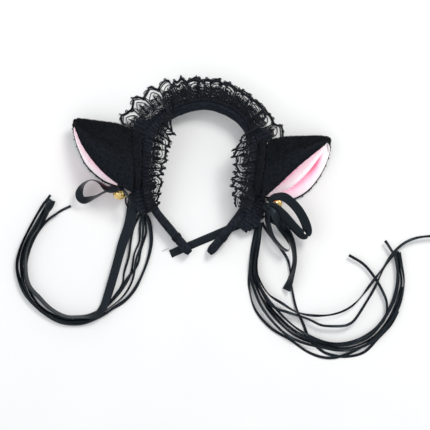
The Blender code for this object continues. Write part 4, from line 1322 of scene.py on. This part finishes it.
# ---------------------------------------------------------------- streamers
# x, y of each narrow strand, lowest first, from its gather to its free end
STRAND_Z, STRAND_RISE = 0.5, 0.8
LEFT = [
    [(-55, -37.5), (-49.5, -48), (-48, -66), (-51.5, -83), (-58, -100), (-65.5, -115.5),
     (-77.5, -128.5), (-91.5, -136), (-108, -145), (-124, -149), (-139.5, -147),
     (-156.5, -137), (-172, -122), (-179.5, -106), (-182.5, -92), (-180.5, -79),
     (-175, -63.5), (-167.5, -48.5), (-159, -33), (-149.5, -20)],
    [(-56, -37.5), (-54, -57), (-59, -74), (-62.5, -89.5), (-72, -102.5), (-81, -115.5),
     (-91.5, -128.5), (-102.5, -137), (-119, -145), (-135, -144), (-152, -137),
     (-164, -126.5), (-171, -113.5), (-174, -97), (-172, -81), (-166.5, -65.5),
     (-158, -52.5), (-149, -43), (-138.5, -35.5), (-129, -31)],
    [(-57.5, -37.5), (-60, -52), (-60.5, -66), (-65.5, -79), (-69, -98), (-77, -113),
     (-88, -126), (-100, -136.5), (-117, -143), (-134, -145.5), (-154, -139.5), (-168, -126),
     (-175.5, -110), (-177.5, -95), (-176, -80), (-170, -63), (-163, -50), (-156, -38),
     (-148, -27)],
    [(-59, -37.5), (-66, -52), (-69, -66), (-71, -81), (-75.5, -97), (-77.5, -109),
     (-85, -121), (-95, -131.5), (-110, -139.5), (-126, -142.5), (-144, -141), (-159, -132),
     (-169, -118), (-174.5, -101), (-174, -86), (-169, -69), (-161, -55), (-152, -45),
     (-142, -38)],
    [(-54.5, -37.5), (-50.5, -52), (-49.5, -70), (-54, -90), (-62, -108), (-72, -122),
     (-84, -131), (-97, -140), (-113, -147.5), (-127, -149.5), (-142, -146.5),
     (-159, -135.5), (-174, -120), (-181, -104), (-183, -88), (-179, -72), (-172, -57),
     (-164, -42), (-155, -27)],
    [(-57, -37.5), (-56.5, -50), (-58, -68), (-63.5, -84), (-67, -104), (-75, -119),
     (-87.5, -130.5), (-99, -138), (-114, -145), (-131, -147), (-148, -142), (-163, -130.5),
     (-173.5, -115), (-178, -99), (-178.5, -84), (-173.5, -67), (-166, -53), (-158.5, -40),
     (-149, -24)],
]
RIGHT = [
    [(62, -47.5), (67, -56), (74.6, -66), (81, -74), (87.4, -84), (90, -94), (91, -107),
     (92.5, -117), (96, -132.5), (102.7, -148), (109, -163), (116, -171), (127, -178.5),
     (145, -181.5), (164, -177), (179, -162), (191, -149), (198, -136)],
    [(55.5, -47.5), (50, -72), (49, -94), (49, -113), (55.5, -135), (71, -153), (90, -164.5),
     (106.5, -176), (122, -182), (137, -182), (157.5, -174.5), (174, -163), (188, -148),
     (199, -128), (203, -112)],
    [(58, -47.5), (54.5, -69), (52, -87), (52, -97), (56, -111), (66, -131), (84, -152),
     (101, -163), (126, -171), (142, -173), (158, -170), (174, -161), (188, -144),
     (197, -126), (201, -107), (199, -92), (197, -76)],
    [(59.5, -47.5), (56.5, -70), (53.5, -88), (54, -99), (59, -112), (69, -130), (86, -149),
     (103, -160.5), (127, -168.5), (142, -170), (157, -167.5), (172, -158.5), (185, -142),
     (194, -124.5), (198, -106), (196.5, -92), (195, -79)],
    [(57, -47.5), (52, -68), (49.5, -86), (50, -98), (53.5, -113), (63, -134), (81, -155),
     (99, -166), (125, -173), (142, -175), (159, -172.5), (176, -163), (191, -145),
     (200, -126.5), (203.5, -107), (201, -90), (199, -77)],
    [(57.5, -47.5), (53.5, -80), (54, -101), (61, -121), (77, -141), (96, -157), (120, -167),
     (140, -170), (160, -165), (176, -153), (185, -142), (186.3, -128), (182, -116),
     (174, -102), (163, -89), (148.5, -80)],
    [(59, -47.5), (55.5, -78), (55, -98), (63, -117), (79, -137), (98, -154), (121, -165.5),
     (141, -168), (160, -163), (177, -151), (189, -133), (195.5, -114), (197, -98),
     (195.5, -84), (190, -74), (184.5, -65.5)],
    [(60, -47.5), (56, -74), (55.5, -93), (59, -104.5), (68, -118.5), (81, -127.5),
     (96, -136.5), (111.5, -140), (129.5, -139.5), (145, -134.5), (157.5, -125),
     (171.5, -107), (183, -91.5), (190.5, -80), (202, -69), (215, -63), (230, -61),
     (236, -61)],
    [(58.5, -47.5), (54.5, -76), (54, -95), (62, -115), (73, -131), (88, -137),
     (106.5, -143), (119, -149), (127, -150.5), (141, -150.5), (148.5, -148.5), (155, -143),
     (165, -127.5), (174, -112), (183, -93), (191, -81.5), (196, -76)],
]
WIDE = [
    (-64.5, -20), (-66.3, -27), (-70, -48), (-77.5, -70), (-85, -97), (-92.5, -122),
    (-97, -133), (-104, -139.5), (-117, -141.5), (-134, -141), (-149, -133), (-160, -122),
    (-169, -112), (-173, -100), (-173, -82), (-168, -65), (-160, -52), (-152, -36),
    (-148, -25),
]
# share of the wide streamer's length, angle of its width to the table in degrees
WIDE_ANGLES = [(0, 6), (0.30, 8), (0.40, 30), (0.47, 66), (0.75, 72), (0.90, 68), (1, 60)]


def streamer(name, z, points, width, body, node, seed, angles=None, flare=0.0, bulge=0.0):
    """A ribbon near the table, twisting at random unless angles are given.

    flare widens its start, and bulge pushes it to +x around y = -68.
    """
    count = 360
    index = np.arange(count + 1)
    path = spline([(x, y, z, 0) for x, y in points], count)
    path[:, 0] += bulge * hump(path[:, 1], -68, 26.0) * (path[:, 0] < 80)
    tangent = tangents(path)
    if angles is None:
        angle = smooth_noise(count + 1, 46, seed, 62.0)
        angle = angle + smooth_noise(count + 1, 19, seed + 9, 14.0)
    else:
        angle = np.interp(np.linspace(0, 1, count + 1), *np.array(angles, float).T)
        angle = angle + smooth_noise(count + 1, 40, seed, 6.0)
    fade = np.clip(np.minimum(index, count - index) / 14.0, 0, 1)
    path[:, 3] = angle * fade
    width = width + flare * np.clip(1 - index / (0.22 * count), 0, 1)
    half_height = width / 2 * np.abs(np.sin(np.radians(path[:, 3])))
    rise = smooth_noise(count + 1, 60, seed + 2, 0.5) * fade
    path[:, 2] = np.maximum(path[:, 2] + rise, 0.3 + half_height)
    ribbon(name, path[:, :3], laid_width(path, tangent), width, 0.22, body, node,
           cup=smooth_noise(count + 1, 40, seed + 5, 0.14), lanes=5)


def strands(side, outlines, width, seed, first_body, bulge):
    for i, points in enumerate(outlines):
        body = first_body if i == 0 else f"{side}_lift_{i + 1}"
        streamer(f"{side}_strand_{i + 1}", STRAND_Z + STRAND_RISE * i, points, width, body,
                 f"{side}_streamer_{i + 1}", seed + 7 * i, bulge=bulge if i else 0.0)


def under_tie():
    """A flat ribbon on the table under the hoop's open end, with a loose thread."""
    path = spline([
        (44, -48.2, 0.35, 0), (30, -53.5, 0.35, 0), (10, -62, 0.35, 0),
        (-10, -70.5, 0.35, 0), (-29.5, -79, 0.35, 0),
    ], 80)
    ribbon("under_tie", path[:, :3], laid_width(path, tangents(path)), 8.0, 0.3, "headband",
           "under_band_tie", cup=0.12)
    thread = spline([
        (-31.4, -73.7, 0.5), (-34, -74.4, 0.8), (-36.5, -75.6, 0.6), (-38, -76.3, 0.4)], 16)
    build_tubes("under_tie_thread", [(thread, 0.16, 5, False)], LACE, "headband", "satin")


def gather(side, x, y, z):
    """Ribbon ends rolled together along x and bound with thread."""
    body = f"{side}_bundle"
    turn = circle(48)
    rings = []
    for along in np.linspace(-4.1, 4.1, 30):
        radius = 3.3 * (1 - 0.10 * hump(along, 0, 1.2))
        radius = radius * (0.55 + 0.45 * min(1, (4.2 - abs(along)) / 1.1))
        rings.append(np.stack([
            np.full(48, x + along),
            y + radius * np.cos(turn) * (1 + 0.05 * np.sin(7 * turn + along)),
            z + radius * np.sin(turn) * (1 + 0.05 * np.sin(5 * turn + 1)),
        ], 1))
    build_rings(f"{side}_gather_roll", np.stack(rings), SATIN, body, "satin",
                f"{side}_streamer_gather", uv=uv_grid(np.linspace(0, 8, 30), 0.4 * np.cos(turn)))
    threads = []
    for offset in (-0.7, -0.2, 0.3, 0.8):
        ring = [(x + offset + 0.2 * math.sin(a), y + 3.15 * math.cos(a), z + 3.15 * math.sin(a))
                for a in circle(32)]
        threads.append((np.array(ring), 0.2, 5, True))
    build_tubes(f"{side}_gather_thread", threads, LACE, body, "satin")


strands("left", LEFT, width=2.4, seed=100, first_body="left_lift_1", bulge=0.0)
strands("right", RIGHT, width=2.8, seed=200, first_body="right_bundle", bulge=2.3)
streamer("left_strand_wide", 5.6, WIDE, 8.8, "left_lift_7", "left_wide_streamer", 300,
         angles=WIDE_ANGLES, flare=3.4)
under_tie()
gather("left", -57, -31.5, 4.4)
gather("right", 58, -41, 4.6)

# ---------------------------------------------------------------- CAD pieces kept as they are
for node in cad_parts:
    obj = bpy.data.objects.get(node)
    kept = node.endswith(("rim_wire", "bell_ball")) or node == "hoop_core"
    if obj is not None and kept:
        obj.data.materials.clear()
        obj.data.materials.append(STEEL)
        shade_smooth(obj.data)

# ---------------------------------------------------------------- stage, in metres
CAMERA_HEIGHT = 1.4
HALF_VIEW = 0.215  # half the width seen at table height


def add_table():
    mesh = bpy.data.meshes.new("table")
    bm = bmesh.new()
    bmesh.ops.create_grid(bm, x_segments=2, y_segments=2, size=2.5)
    bm.to_mesh(mesh)
    bm.free()
    table = bpy.data.objects.new("table", mesh)
    bpy.context.scene.collection.objects.link(table)
    mesh.materials.append(FLOOR)


def add_world():
    world = bpy.data.worlds.new("studio")
    bpy.context.scene.world = world
    world.use_nodes = True
    background = world.node_tree.nodes["Background"]
    background.inputs["Color"].default_value = (0.97, 0.985, 1.0, 1)
    background.inputs["Strength"].default_value = 0.74


def area_light(name, location, size, power, colour):
    """A square light aimed at the origin."""
    light = bpy.data.lights.new(name, "AREA")
    light.shape = "SQUARE"
    light.size = size
    light.energy = power
    light.color = colour
    obj = bpy.data.objects.new(name, light)
    bpy.context.scene.collection.objects.link(obj)
    obj.location = location
    obj.rotation_euler = (-Vector(location)).to_track_quat("-Z", "Y").to_euler()


def add_camera():
    """Looks straight down."""
    lens = bpy.data.cameras.new("camera")
    camera = bpy.data.objects.new("camera", lens)
    bpy.context.scene.collection.objects.link(camera)
    camera.location = (*place((15.0, -40.0, 0.0))[:2], CAMERA_HEIGHT)
    lens.angle = 2 * math.atan(HALF_VIEW / CAMERA_HEIGHT)
    lens.clip_end = 20
    bpy.context.scene.camera = camera


add_table()
add_world()
area_light("key", location=(0.75, 1.15, 1.45), size=0.6, power=20, colour=(1.0, 0.985, 0.95))
area_light("fill", location=(-1.2, 0.2, 1.3), size=1.2, power=4, colour=(0.90, 0.95, 1.0))
add_camera()
bpy.context.scene.view_settings.view_transform = "Standard"

bpy.context.view_layer.update()
